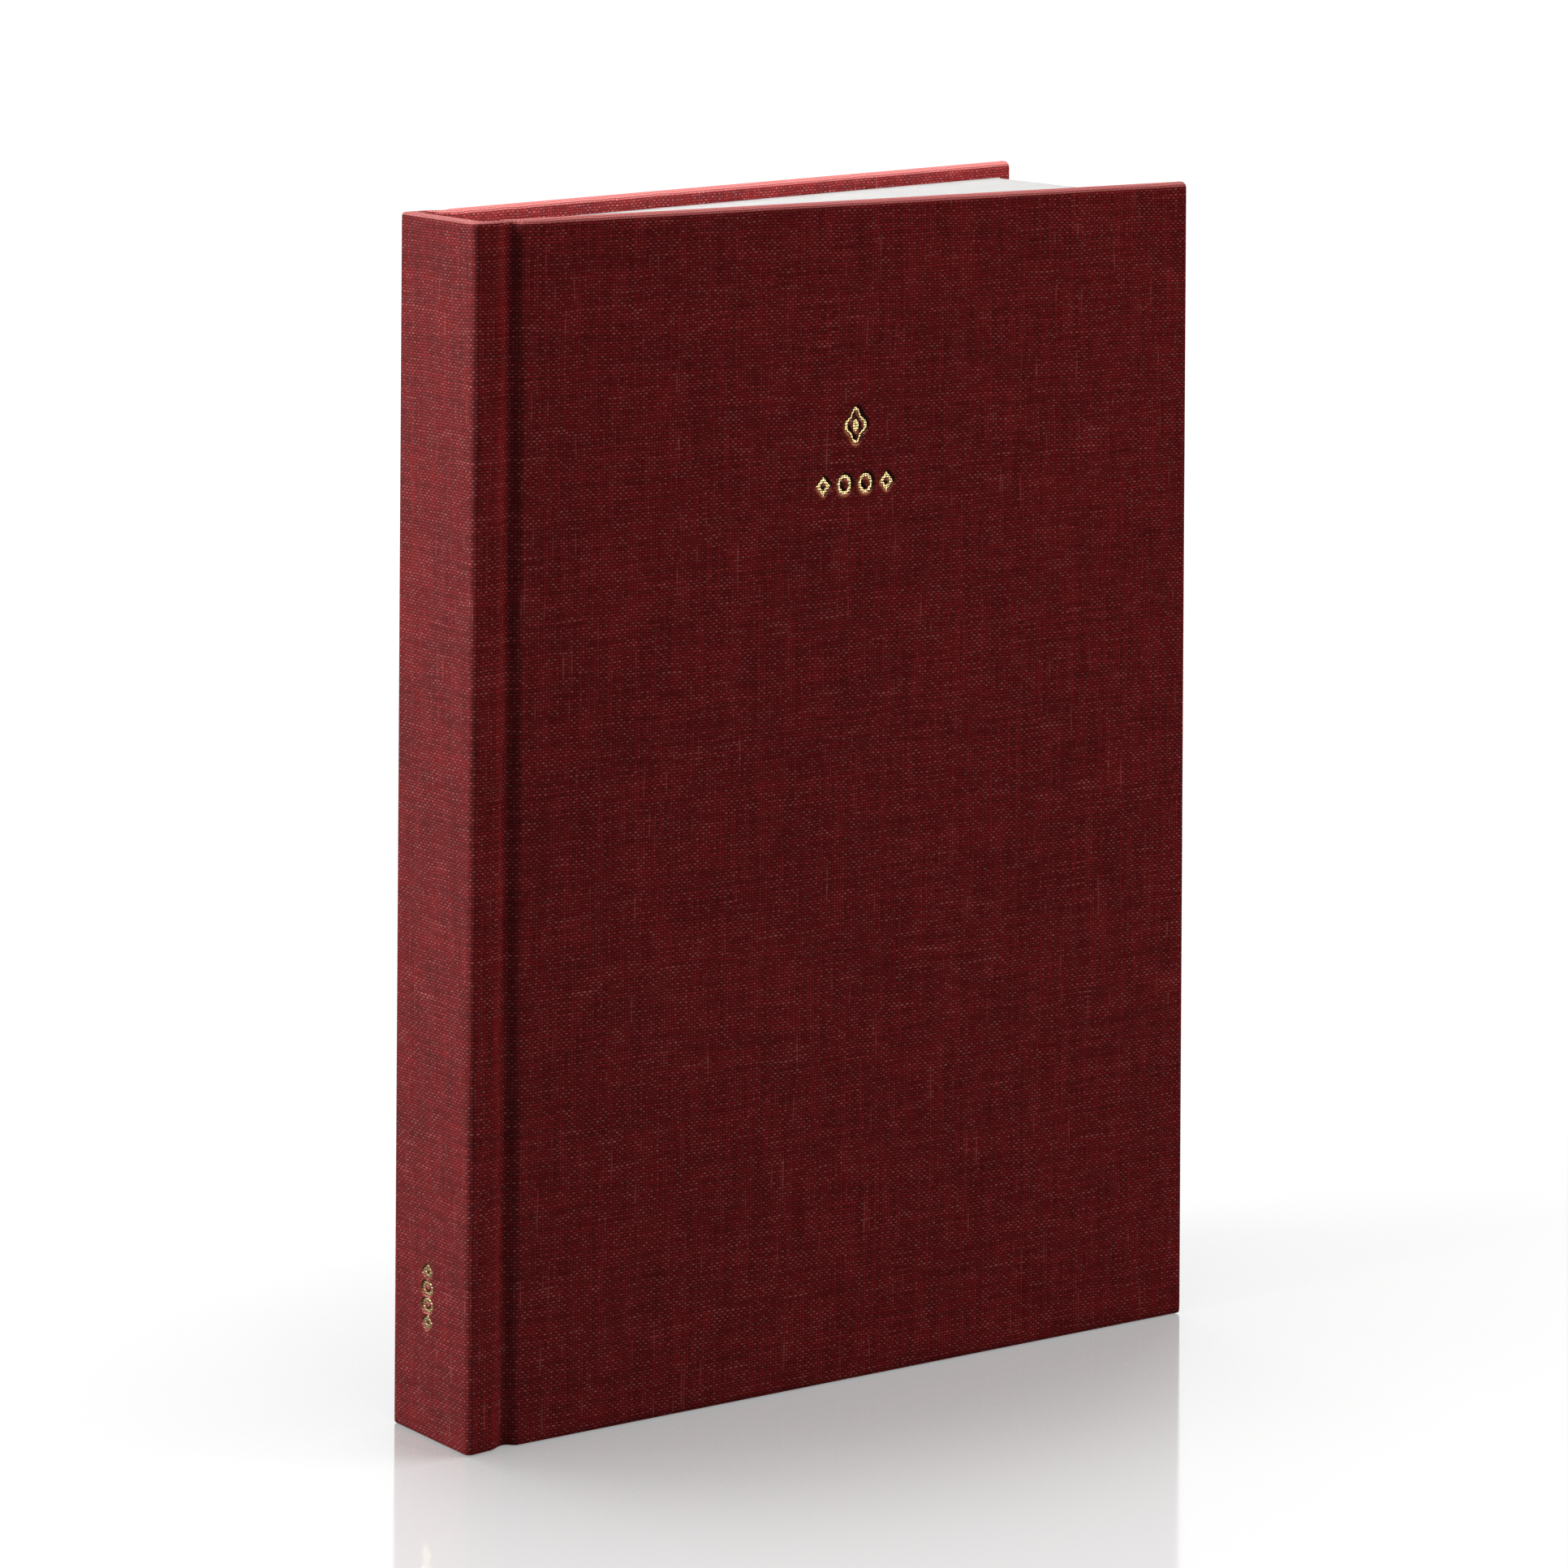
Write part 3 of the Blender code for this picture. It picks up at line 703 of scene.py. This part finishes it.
def crease(x, z, seed):
    """Fine creases that the cloth keeps along the groove, where it folds each time the cover opens."""
    depth = np.zeros(np.broadcast(x, z).shape)
    for index, place in enumerate(CREASES):
        phase = seed * 1.7 + index * 2.3
        line = place + 0.16 * np.sin(z / 17.0 + phase) + 0.08 * np.sin(z / 5.3 + 2 * phase)
        strength = 0.030 + 0.020 * np.sin(z / 11.0 + 3 * phase)
        depth = depth + strength * np.exp(-(((x - line) / CREASE_WIDTH) ** 2))
    return depth


def in_window(x, z):
    """1 where the board shows between the turned-in edges of the cloth, 0 over them."""
    reach = smooth((COVER_EDGE - TURN_IN - x) / TURN_IN_SLOPE)
    low = smooth((z - TURN_IN) / TURN_IN_SLOPE)
    high = smooth((HEIGHT - TURN_IN - z) / TURN_IN_SLOPE)
    return reach * low * high


def step_down(x, z):
    """How far cloth and pastedown sink from the turned-in edges to the bare board."""
    return STEP_DOWN * in_window(x, z) * smooth(x - STEP_START)


def cover_case(side):
    label = LABEL[side]
    stamped = side == FRONT
    edge_middle = COVER_EDGE - EDGE_ROUND
    x = stations((SPLIT, HINGE_RUN_END, 0.2), (HINGE_RUN_END, STAMPED_X[0], 3.9),
                 (*STAMPED_X, STAMP_STEP if stamped else 3.4), (STAMPED_X[1], CLOTH_STEP_X[0], 4.0),
                 (*CLOTH_STEP_X, 0.3), (CLOTH_STEP_X[1], 152.0, 2.0), (152.0, edge_middle, 0.7))
    outer_edge = arc_points((edge_middle, HALF - EDGE_ROUND), EDGE_ROUND, 90, 0, 6)
    inner_edge = arc_points((edge_middle, COVER_INNER + EDGE_ROUND), EDGE_ROUND, -90, 0, 6)
    outer = np.concatenate((np.column_stack((x, case_depth(x)))[:-1], outer_edge))
    inner = np.concatenate((np.column_stack((x, inside_depth(x)))[:-1], inner_edge))
    z_rows = stations((RIM, CLOTH_STEP_TAIL[0], 2.1), (*CLOTH_STEP_TAIL, 0.3),
                      (CLOTH_STEP_TAIL[1], STAMPED_Z[0], 4.0), (*STAMPED_Z, STAMP_STEP if stamped else 4.9),
                      (STAMPED_Z[1], CLOTH_STEP_HEAD[0], 4.0), (*CLOTH_STEP_HEAD, 0.3),
                      (CLOTH_STEP_HEAD[1], HEIGHT - RIM, 2.1))
    lines = figure_lines(FRONT_FIGURES)

    def outer_relief(path, z):
        relief = crease(path[:, 0], z, 1 + side)
        if stamped:
            relief = relief + deboss(lines, path[:, 0], z)
        return relief

    def inner_relief(path, z):
        return step_down(path[:, 0], z)

    slab = cloth_slab(outer, inner, z_rows, HEAD_ROUND, outer_relief, inner_relief)
    points, faces, corners = sandwich(*slab)
    points = round_corners(points)
    across, z, outside = points[:, 0], points[:, 2], np.abs(points[:, 1]) > HALF - EDGE_ROUND
    points[:, 1] *= side
    shares = share_of_cover(points[:, 0])
    points = turned(points, joint_xy(f"{label}_cover_hinge"), side * SPLAY * shares)
    obj = new_piece(f"{label}_cover_case", to_row(points), faces, corners, BOOKCLOTH)
    if stamped:
        shade_stamping(obj, lines, across, z, outside, SHADE_SHIFT, GLOW_SHIFT)
    set_shares(obj)
    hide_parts(f"{label}_cover_cloth")
    return np.column_stack((x, along(np.column_stack((x, case_depth(x))))))


def spine_case():
    x = stations((SPINE_CORNER, SPLIT, 0.2))[::-1]
    side_y = HALF - SPINE_CORNER
    low = closed_middle("spine_foil_1")[1] - SPINE_STAMP_HALF
    high = low + 2 * SPINE_STAMP_HALF
    flat_y = stations((-side_y, low, 1.5), (low, high, SPINE_STAMP_STEP), (high, side_y, 1.5))[1:-1]
    mirror = np.array((1, -1))

    def both_sides(run, corner, flat):
        return np.concatenate((run, corner, flat, corner[::-1] * mirror, run[::-1] * mirror))

    outer = both_sides(np.column_stack((x, -case_depth(x))),
                       arc_points((SPINE_CORNER, -side_y), SPINE_CORNER, -90, -180, 8)[1:],
                       np.column_stack((0 * flat_y, flat_y)))
    inner_x = SPINE_INNER + SPINE_INNER_ROUND
    inner_y = GLUED_DEPTH - SPINE_INNER_RISE - SPINE_INNER_ROUND
    inner_run_x = np.interp(x, (SPINE_CORNER, SPLIT), (inner_x, SPLIT))
    inner_run_y = np.interp(x, (SPINE_CORNER, SPLIT), (GLUED_DEPTH - SPINE_INNER_RISE, GLUED_DEPTH))
    inner = both_sides(np.column_stack((inner_run_x, -inner_run_y)),
                       arc_points((inner_x, -inner_y), SPINE_INNER_ROUND, -90, -180, 8)[1:],
                       np.column_stack((SPINE_INNER + 0 * flat_y, flat_y * inner_y / side_y)))
    z_rows = stations((RIM, SPINE_STAMPED_Z[0], 2.6), (*SPINE_STAMPED_Z, SPINE_STAMP_STEP),
                      (SPINE_STAMPED_Z[1], HEIGHT - RIM, 4.0))
    lines = figure_lines(SPINE_FIGURES)

    def outer_relief(path, z):
        pressed = deboss(lines, z, path[:, 1]) * (path[:, 0] < 0.5)
        return pressed + crease(path[:, 0], z, 1 + np.sign(path[:, 1]))

    def inner_relief(path, z):
        return np.zeros(len(path))

    slab = cloth_slab(outer, inner, z_rows, SPINE_HEAD_ROUND, outer_relief, inner_relief)
    points, faces, corners = sandwich(*slab)
    obj = new_piece("spine_case", to_row(points), faces, corners, BOOKCLOTH)
    shade_stamping(obj, lines, points[:, 2], points[:, 1], points[:, 0] < 0.6, SPINE_SHIFT, SPINE_SHIFT)
    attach(obj, "spine")
    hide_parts("spine_cloth")


# ---------------------------------------------------------------- foil
FOIL_PROFILE = ((0.0, -1.0), (0.0, -0.35), (0.07, -0.1), (0.25, 0.15), (0.5, 0.28),
                (0.75, 0.15), (0.93, -0.1), (1.0, -0.35), (1.0, -1.0))


def foil_piece(name, figure, size, middle, to_book, body):
    """One stamped line of foil, pressed into the cloth. to_book takes (across, up, depth below the cloth)."""
    outside, inside = figure(size, 0.0), figure(size, STROKE)
    rows = []
    for share, lift in FOIL_PROFILE:
        line = outside * (1 - share) + inside * share + middle
        rows.append(np.column_stack((line, np.full(len(line), FOIL_TOP - lift * FOIL_THICK))))
    grid = np.array(rows).transpose(1, 0, 2)
    count, across = grid.shape[:2]
    flat = grid.reshape(-1, 3)
    faces = ring_quads(count, across, closed_rows=True)
    points, uv = to_book(flat)
    obj = new_piece(name, to_row(points), faces, uv[faces], GOLD, sharp=60.0)
    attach(obj, body)
    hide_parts(name)
    obj.name = name + "_line"


def front_foil(table):
    hinge = joint_xy("front_cover_hinge")

    def to_book(flat):
        points = np.column_stack((flat[:, 0], -(HALF - flat[:, 2]), flat[:, 1]))
        u = np.interp(flat[:, 0], table[:, 0], table[:, 1])
        return turned(points, hinge, FRONT * SPLAY), np.column_stack((u, flat[:, 1]))

    names = ["emblem_foil", "emblem_core_foil"] + [f"cover_foil_{i + 1}" for i in range(4)]
    for name, (figure, size, middle) in zip(names, FRONT_FIGURES):
        foil_piece(name, figure, size, middle, to_book, "front_cover")


def spine_foil():
    def to_book(flat):
        points = np.column_stack((flat[:, 2], flat[:, 1], flat[:, 0]))
        return points, np.column_stack((flat[:, 1], flat[:, 0]))

    for i, (figure, size, middle) in enumerate(SPINE_FIGURES):
        foil_piece(f"spine_foil_{i + 1}", figure, size, middle, to_book, "spine")


# ---------------------------------------------------------------- paper
def sheet_grids(path, thick, z_rows):
    """Matched grids of a paper sheet along a plan path."""
    out = path_normals(path)
    grids = []
    for sign in (1, -1):
        face = path + out * sign * thick / 2
        grids.append(np.array([np.column_stack((face, np.full(len(face), z))) for z in z_rows]))
    u = along(path)
    uv = np.array([np.column_stack((u, np.full(len(u), z))) for z in z_rows])
    return grids[0], grids[1], uv, uv


def endpapers(side):
    label = LABEL[side]
    x = stations((SPLIT + 0.2, 10.0, 0.3), (10.0, CLOTH_STEP_X[0], 6.0), (*CLOTH_STEP_X, 0.3),
                 (CLOTH_STEP_X[1], PASTE_EDGE, 3.0))
    path = np.column_stack((x, PASTE_DEPTH + 0 * x))
    z_rows = stations((SQUARE, PAPER_STEP_TAIL[0], 3.0), (*PAPER_STEP_TAIL, 0.2),
                      (PAPER_STEP_TAIL[1], PAPER_STEP_HEAD[0], 6.0), (*PAPER_STEP_HEAD, 0.2),
                      (PAPER_STEP_HEAD[1], HEIGHT - SQUARE, 3.0))
    grids = sheet_grids(path, PAPER, z_rows)
    for grid in grids[:2]:
        grid[..., 1] += step_down(grid[..., 0], grid[..., 2])
    points, faces, corners = sandwich(*grids)
    points[:, 1] *= side
    shares = share_of_cover(points[:, 0])
    points = turned(points, joint_xy(f"{label}_cover_hinge"), side * SPLAY * shares)
    obj = new_piece(f"{label}_pastedown_sheet", to_row(points), faces, corners, PAGE)
    set_shares(obj)
    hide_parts(f"{label}_pastedown")

    joint = f"{label}_flyleaf_fold"
    axis = joint_xy(joint)
    ratio = JOINTS[joint]["range_deg"][1] / WIDE_OPEN
    x = stations((axis[0] - 0.3, axis[0] + FLYLEAF_BEND, 0.5), (axis[0] + FLYLEAF_BEND, FORE_EDGE, 8.0))
    path = np.column_stack((x, abs(axis[1]) + 0 * x))
    points, faces, corners = sandwich(*sheet_grids(path, FLYLEAF, (SQUARE, HEIGHT / 2, HEIGHT - SQUARE)))
    points[:, 1] *= side
    shares = smooth((points[:, 0] - axis[0]) / FLYLEAF_BEND)
    points = turned(points, axis, side * SPLAY * ratio * shares)
    obj = new_piece(f"{label}_flyleaf_sheet", to_row(points), faces, corners, PAGE)
    set_shares(obj)
    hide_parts(f"{label}_flyleaf")


def mull_flange(side):
    """The gauze flange behind the pastedown, drawn from the board's edge so that it clears the fold."""
    label = LABEL[side]
    low, high = closed_box(f"{label}_mull_flange", side)
    x = stations((FLANGE_START, high[0], 3.0))
    path = np.column_stack((x, 0 * x + abs(low[1] + high[1]) / 2))
    points, faces, corners = sandwich(*sheet_grids(path, FLANGE_THICK, (low[2], HEIGHT / 2, high[2])))
    points[:, 1] *= side
    points = turned(points, joint_xy(f"{label}_cover_hinge"), side * SPLAY)
    obj = new_piece(f"{label}_mull_flange_gauze", to_row(points), faces, corners, CAD_FINISH["mull_gauze"])
    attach(obj, f"{label}_cover")
    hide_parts(f"{label}_mull_flange")


def leaf_ratio(number):
    """The share of a cover's turn that a leaf takes, negative on the front cover's side."""
    last = SECTIONS * LEAVES - 1
    return (2 * number / last - 1) * WIDEST_LEAF


def closing_up(ratio, reach, offset):
    """What a leaf's turn gives back near the fold, so that opened sections stay stacked in order."""
    opened = np.radians(WIDE_OPEN)
    return offset * (1 - np.cos(ratio * opened)) / (np.maximum(reach, LEAF_BEND / 2) * opened)


def section(index, rng):
    """One sewn section: eight folded sheets, nested, each leaf turning by its own share."""
    name = f"section_{index + 1:02d}"
    joint = f"{name}_fold"
    axis = joint_xy(joint)
    side = -1 if axis[1] < 0 else 1
    section_ratio = side * JOINTS[joint]["range_deg"][1] / WIDE_OPEN
    bend_end = FOLD_X + LEAF_BEND
    x = stations((FOLD_X, bend_end, 1.25), (bend_end, TRIM_START, 21.0), (TRIM_START, FORE_EDGE, 12.0))
    blocks, shares, base = [], [], 0
    for sheet in range(LEAVES // 2):
        radius = (LEAVES / 2 - 0.5 - sheet) * LEAF_PITCH
        trim = rng.uniform(-TRIM_SPREAD, TRIM_SPREAD, 2)
        low, high = SQUARE + rng.uniform(0, CUT_SPREAD), HEIGHT - SQUARE - rng.uniform(0, CUT_SPREAD)
        reach = [x * np.where(x > TRIM_START, 1 + t / FORE_EDGE, 1) for t in trim]
        front_leaf = np.column_stack((reach[0][::-1], np.full(len(x), axis[1] - radius)))
        back_leaf = np.column_stack((reach[1], np.full(len(x), axis[1] + radius)))
        fold = arc_points((0.0, axis[1]), radius, -90, -270, 8)[1:-1] * (FOLD_SQUASH, 1) + (FOLD_X, 0)
        path = np.concatenate((front_leaf, fold, back_leaf))
        grids = sheet_grids(path, LEAF_THICK, (low, HEIGHT / 2, high))
        points, faces, corners = sandwich(*grids)
        leaves = np.array((index * LEAVES + sheet, index * LEAVES + LEAVES - 1 - sheet))
        ratio = np.where(points[:, 1] < axis[1], leaf_ratio(leaves[0]), leaf_ratio(leaves[1]))
        ratio = ratio - closing_up(ratio, points[:, 0] - axis[0], points[:, 1] - axis[1])
        bend = smooth((points[:, 0] - FOLD_X) / LEAF_BEND)
        points = turned(points, axis, SPLAY * ratio * bend)
        shares.append(ratio / section_ratio * bend)
        blocks.append((points, faces + base, corners))
        base += len(points)
    points, faces, corners = (np.concatenate(parts) for parts in zip(*blocks))
    obj = new_piece(f"{name}_leaves", to_row(points), faces, corners, PAGE)
    set_shares(obj)
    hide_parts(name)


# ---------------------------------------------------------------- bands
def band(node, at_head):
    """A woven band: a corded bead along the fold edges, with its tape glued down the back of the block."""
    low, high = closed_box(node)
    up = 1 if at_head else -1
    tip, foot = (high[2], low[2]) if at_head else (low[2], high[2])
    middle = np.array(((low[0] + high[0]) / 2, tip - up * BAND_BEAD))
    tape_z = (foot, (foot + tip) / 2, middle[1] - up * BAND_BEAD)
    left, right = (
        np.concatenate(([(low[0] + tape, z) for z in tape_z],
                        arc_points((0.0, 0.0), BAND_BEAD, start, 90, 8) * (1, up) + middle))
        for tape, start in ((0.0, 200), (BAND_TAPE, -70)))
    right[-1] = (middle[0] + BAND_SEAM, tip)
    grids = ([], [])
    for y in stations((low[1], high[1], 0.1)):
        swell = 1 - BAND_SWELL * abs(math.cos(math.tau * y / BAND_PITCH))
        for profile, grid in zip((left, right), grids):
            bead = middle + (profile[len(tape_z):] - middle) * swell
            shaped = np.concatenate((profile[:len(tape_z)], bead))
            grid.append(np.column_stack((shaped[:, 0], np.full(len(shaped), y), shaped[:, 1])))
    outer, inner = np.array(grids[0]), np.array(grids[1])
    uv = outer[..., :2]
    points, faces, corners = sandwich(outer, inner, uv, uv)
    obj = new_piece(f"{node}_woven", to_row(points), faces, corners, SILK, sharp=50.0)
    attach(obj, "spine")
    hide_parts(node)


# ---------------------------------------------------------------- build
outer_table = cover_case(FRONT)
cover_case(BACK)
spine_case()
front_foil(outer_table)
spine_foil()
for cover_side in (FRONT, BACK):
    endpapers(cover_side)
    mull_flange(cover_side)
page_rng = np.random.default_rng(7)
for section_index in range(SECTIONS):
    section(section_index, page_rng)
band("headband", True)
band("tailband", False)

NODE_SLOT = {entry["node"]: entry["material_slot"] for entry in frame["record"]["subparts"]}
for node_name, node in frame["nodes"].items():
    node.data.materials.clear()
    node.data.materials.append(CAD_FINISH[NODE_SLOT[node_name]])


# ---------------------------------------------------------------- studio
CAMERA_PLACE = Vector((-0.52416, -0.76116, 0.31058))
CAMERA_YAW, CAMERA_ROLL = math.radians(-38.256), math.radians(0.351)
CAMERA_LENS, CAMERA_SHIFT = 119.63, -0.7012


def add_camera():
    """The lens is shifted, as on a view camera, so that uprights stay upright, but only at this place."""
    data = bpy.data.cameras.new("camera")
    data.sensor_width = 36.0
    data.lens = CAMERA_LENS
    data.clip_start, data.clip_end = 0.01, 50.0
    camera = bpy.data.objects.new("camera", data)
    forward = Vector((-math.sin(CAMERA_YAW), math.cos(CAMERA_YAW), 0.0))
    level = Vector((math.cos(CAMERA_YAW), math.sin(CAMERA_YAW), 0.0))
    up = Vector((0.0, 0.0, 1.0))
    right = math.cos(CAMERA_ROLL) * level + math.sin(CAMERA_ROLL) * up
    up = right.cross(forward)
    turn = Matrix((right, up, -forward)).transposed().to_4x4()
    camera.matrix_world = Matrix.Translation(CAMERA_PLACE) @ turn
    bpy.context.scene.collection.objects.link(camera)
    bpy.context.scene.camera = camera
    rise = data.driver_add("shift_y").driver
    rise.type = "SCRIPTED"
    for index, name in enumerate("xyz"):
        variable = rise.variables.new()
        variable.name = name
        variable.type = "TRANSFORMS"
        variable.targets[0].id = camera
        variable.targets[0].transform_type = f"LOC_{name.upper()}"
    here = " + ".join(f"abs({name} - ({CAMERA_PLACE[index]:.5f}))" for index, name in enumerate("xyz"))
    rise.expression = f"{CAMERA_SHIFT} if {here} < 0.001 else 0"


def add_light(name, place, target, size, power, colour):
    data = bpy.data.lights.new(name, "AREA")
    data.shape = "RECTANGLE"
    data.size, data.size_y = size
    data.energy = power
    data.color = colour
    lamp = bpy.data.objects.new(name, data)
    lamp.location = place
    lamp.rotation_euler = (Vector(target) - Vector(place)).to_track_quat("-Z", "Y").to_euler()
    bpy.context.scene.collection.objects.link(lamp)
    return lamp


def aim_only_at(lamp, objects):
    """Let a lamp light these objects and nothing else."""
    lit = bpy.data.collections.new(lamp.name + "_lit")
    for obj in objects:
        lit.objects.link(obj)
    lamp.light_linking.receiver_collection = lit


FLOOR_SIDE, FLOOR_BELOW = 6.0, 0.0002
FLOOR_CONTACT, FLOOR_GLOW = 0.12, 0.78
FLOOR_GLOSS_NEAR, FLOOR_GLOSS_FAR = 0.58, 0.24


def add_floor():
    """A white sweep: diffuse, faintly polished, and lit towards the horizon to meet the backdrop."""
    mesh = bpy.data.meshes.new("floor")
    corners = [(x * FLOOR_SIDE, y * FLOOR_SIDE, 0) for x, y in ((-1, -1), (1, -1), (1, 1), (-1, 1))]
    mesh.from_pydata(corners, [], [(0, 1, 2, 3)])
    floor = bpy.data.objects.new("floor", mesh)
    floor.location.z = -FLOOR_BELOW
    bpy.context.scene.collection.objects.link(floor)
    net = Nodes("floor")
    seen = net.tree.nodes.new("ShaderNodeLightPath").outputs["Is Camera Ray"]
    x, y, _ = net.parts(net.place())
    away = net.math("SQRT", net.add(net.mul(x, x), net.mul(y, y)))
    contact = net.tree.nodes.new("ShaderNodeAmbientOcclusion")
    contact.samples = 16
    contact.inputs["Distance"].default_value = FLOOR_CONTACT
    gloss = net.ramp(contact.outputs["AO"], 0.60, 1.0, FLOOR_GLOSS_NEAR, FLOOR_GLOSS_FAR)
    glow = net.add(FLOOR_GLOW, net.ramp(away, 150.0, 800.0, 0.0, 0.40))
    net.finish(Base_Color=net.mix(seen, (0.16, 0.16, 0.16), (0.25, 0.25, 0.25)), Roughness=0.9,
               Specular_IOR_Level=0.0, Emission_Color=(1.0, 1.0, 1.0), Emission_Strength=net.mul(seen, glow))
    polish = net.tree.nodes.new("ShaderNodeBsdfGlossy")
    polish.inputs["Roughness"].default_value = 0.07
    blend = net.tree.nodes.new("ShaderNodeMixShader")
    net.put(blend.inputs[0], net.mul(seen, gloss))
    net.put(blend.inputs[1], net.surface.outputs[0])
    net.put(blend.inputs[2], polish.outputs[0])
    net.put(net.output.inputs[0], blend.outputs[0])
    mesh.materials.append(net.material)


AMBIENT = 0.08


def add_world():
    """White to the camera and to reflections of what stands behind the book, dim for everything else."""
    world = bpy.data.worlds.new("studio")
    world.use_nodes = True
    tree = world.node_tree
    paths = tree.nodes.new("ShaderNodeLightPath").outputs
    direction = tree.nodes.new("ShaderNodeSeparateXYZ")
    tree.links.new(tree.nodes.new("ShaderNodeTexCoord").outputs["Generated"], direction.inputs[0])
    behind = tree.nodes.new("ShaderNodeMapRange")
    behind.inputs["From Min"].default_value = -0.1
    behind.inputs["From Max"].default_value = 0.2
    tree.links.new(direction.outputs[1], behind.inputs["Value"])
    glossy = tree.nodes.new("ShaderNodeMath")
    glossy.operation = "MULTIPLY"
    tree.links.new(behind.outputs[0], glossy.inputs[0])
    tree.links.new(paths["Is Glossy Ray"], glossy.inputs[1])
    white = tree.nodes.new("ShaderNodeMath")
    white.operation = "MAXIMUM"
    tree.links.new(glossy.outputs[0], white.inputs[0])
    tree.links.new(paths["Is Camera Ray"], white.inputs[1])
    strength = tree.nodes.new("ShaderNodeMapRange")
    strength.inputs["To Min"].default_value = AMBIENT
    strength.inputs["To Max"].default_value = 1.0
    tree.links.new(white.outputs[0], strength.inputs["Value"])
    background = tree.nodes["Background"]
    tree.links.new(strength.outputs[0], background.inputs["Strength"])
    background.inputs["Color"].default_value = (1.0, 1.0, 1.0, 1.0)
    bpy.context.scene.world = world


WHITE, WARM, CREAM = (1.0, 1.0, 1.0), (1.0, 0.96, 0.94), (1.0, 0.95, 0.86)
LAMPS = {
    # name: place, target, size (all in metres), power in watts, colour
    "left": ((-0.80, 0.25, 0.65), (0.0, 0.0, 0.11), (0.6, 0.6), 12.0, WHITE),
    "back_top": ((0.45, 0.75, 1.05), (0.07, 0.0, 0.10), (0.7, 0.7), 4.0, WHITE),
    "overhead": ((0.10, -0.22, 1.30), (0.08, 0.0, 0.10), (0.5, 0.3), 6.0, WHITE),
    "right": ((1.00, -0.55, 0.55), (0.08, 0.0, 0.12), (0.5, 0.5), 7.0, WARM),
    "card": ((0.61, -1.05, 0.16), (0.08, 0.0, 0.17), (0.4, 0.4), 4.5, CREAM),
    "hollow": ((0.35, -0.60, 1.00), (0.08, 0.02, 0.21), (0.4, 0.4), 12.0, WHITE),
}

add_camera()
lamps = {name: add_light(name, *settings) for name, settings in LAMPS.items()}
for unseen in ("overhead", "right"):
    lamps[unseen].visible_glossy = False
aim_only_at(lamps["card"], [obj for obj in bpy.data.objects if obj.name.endswith("_line")])
aim_only_at(lamps["hollow"], [bpy.data.objects["back_cover_case"]])
add_floor()
add_world()
bpy.context.scene.view_settings.view_transform = "Standard"
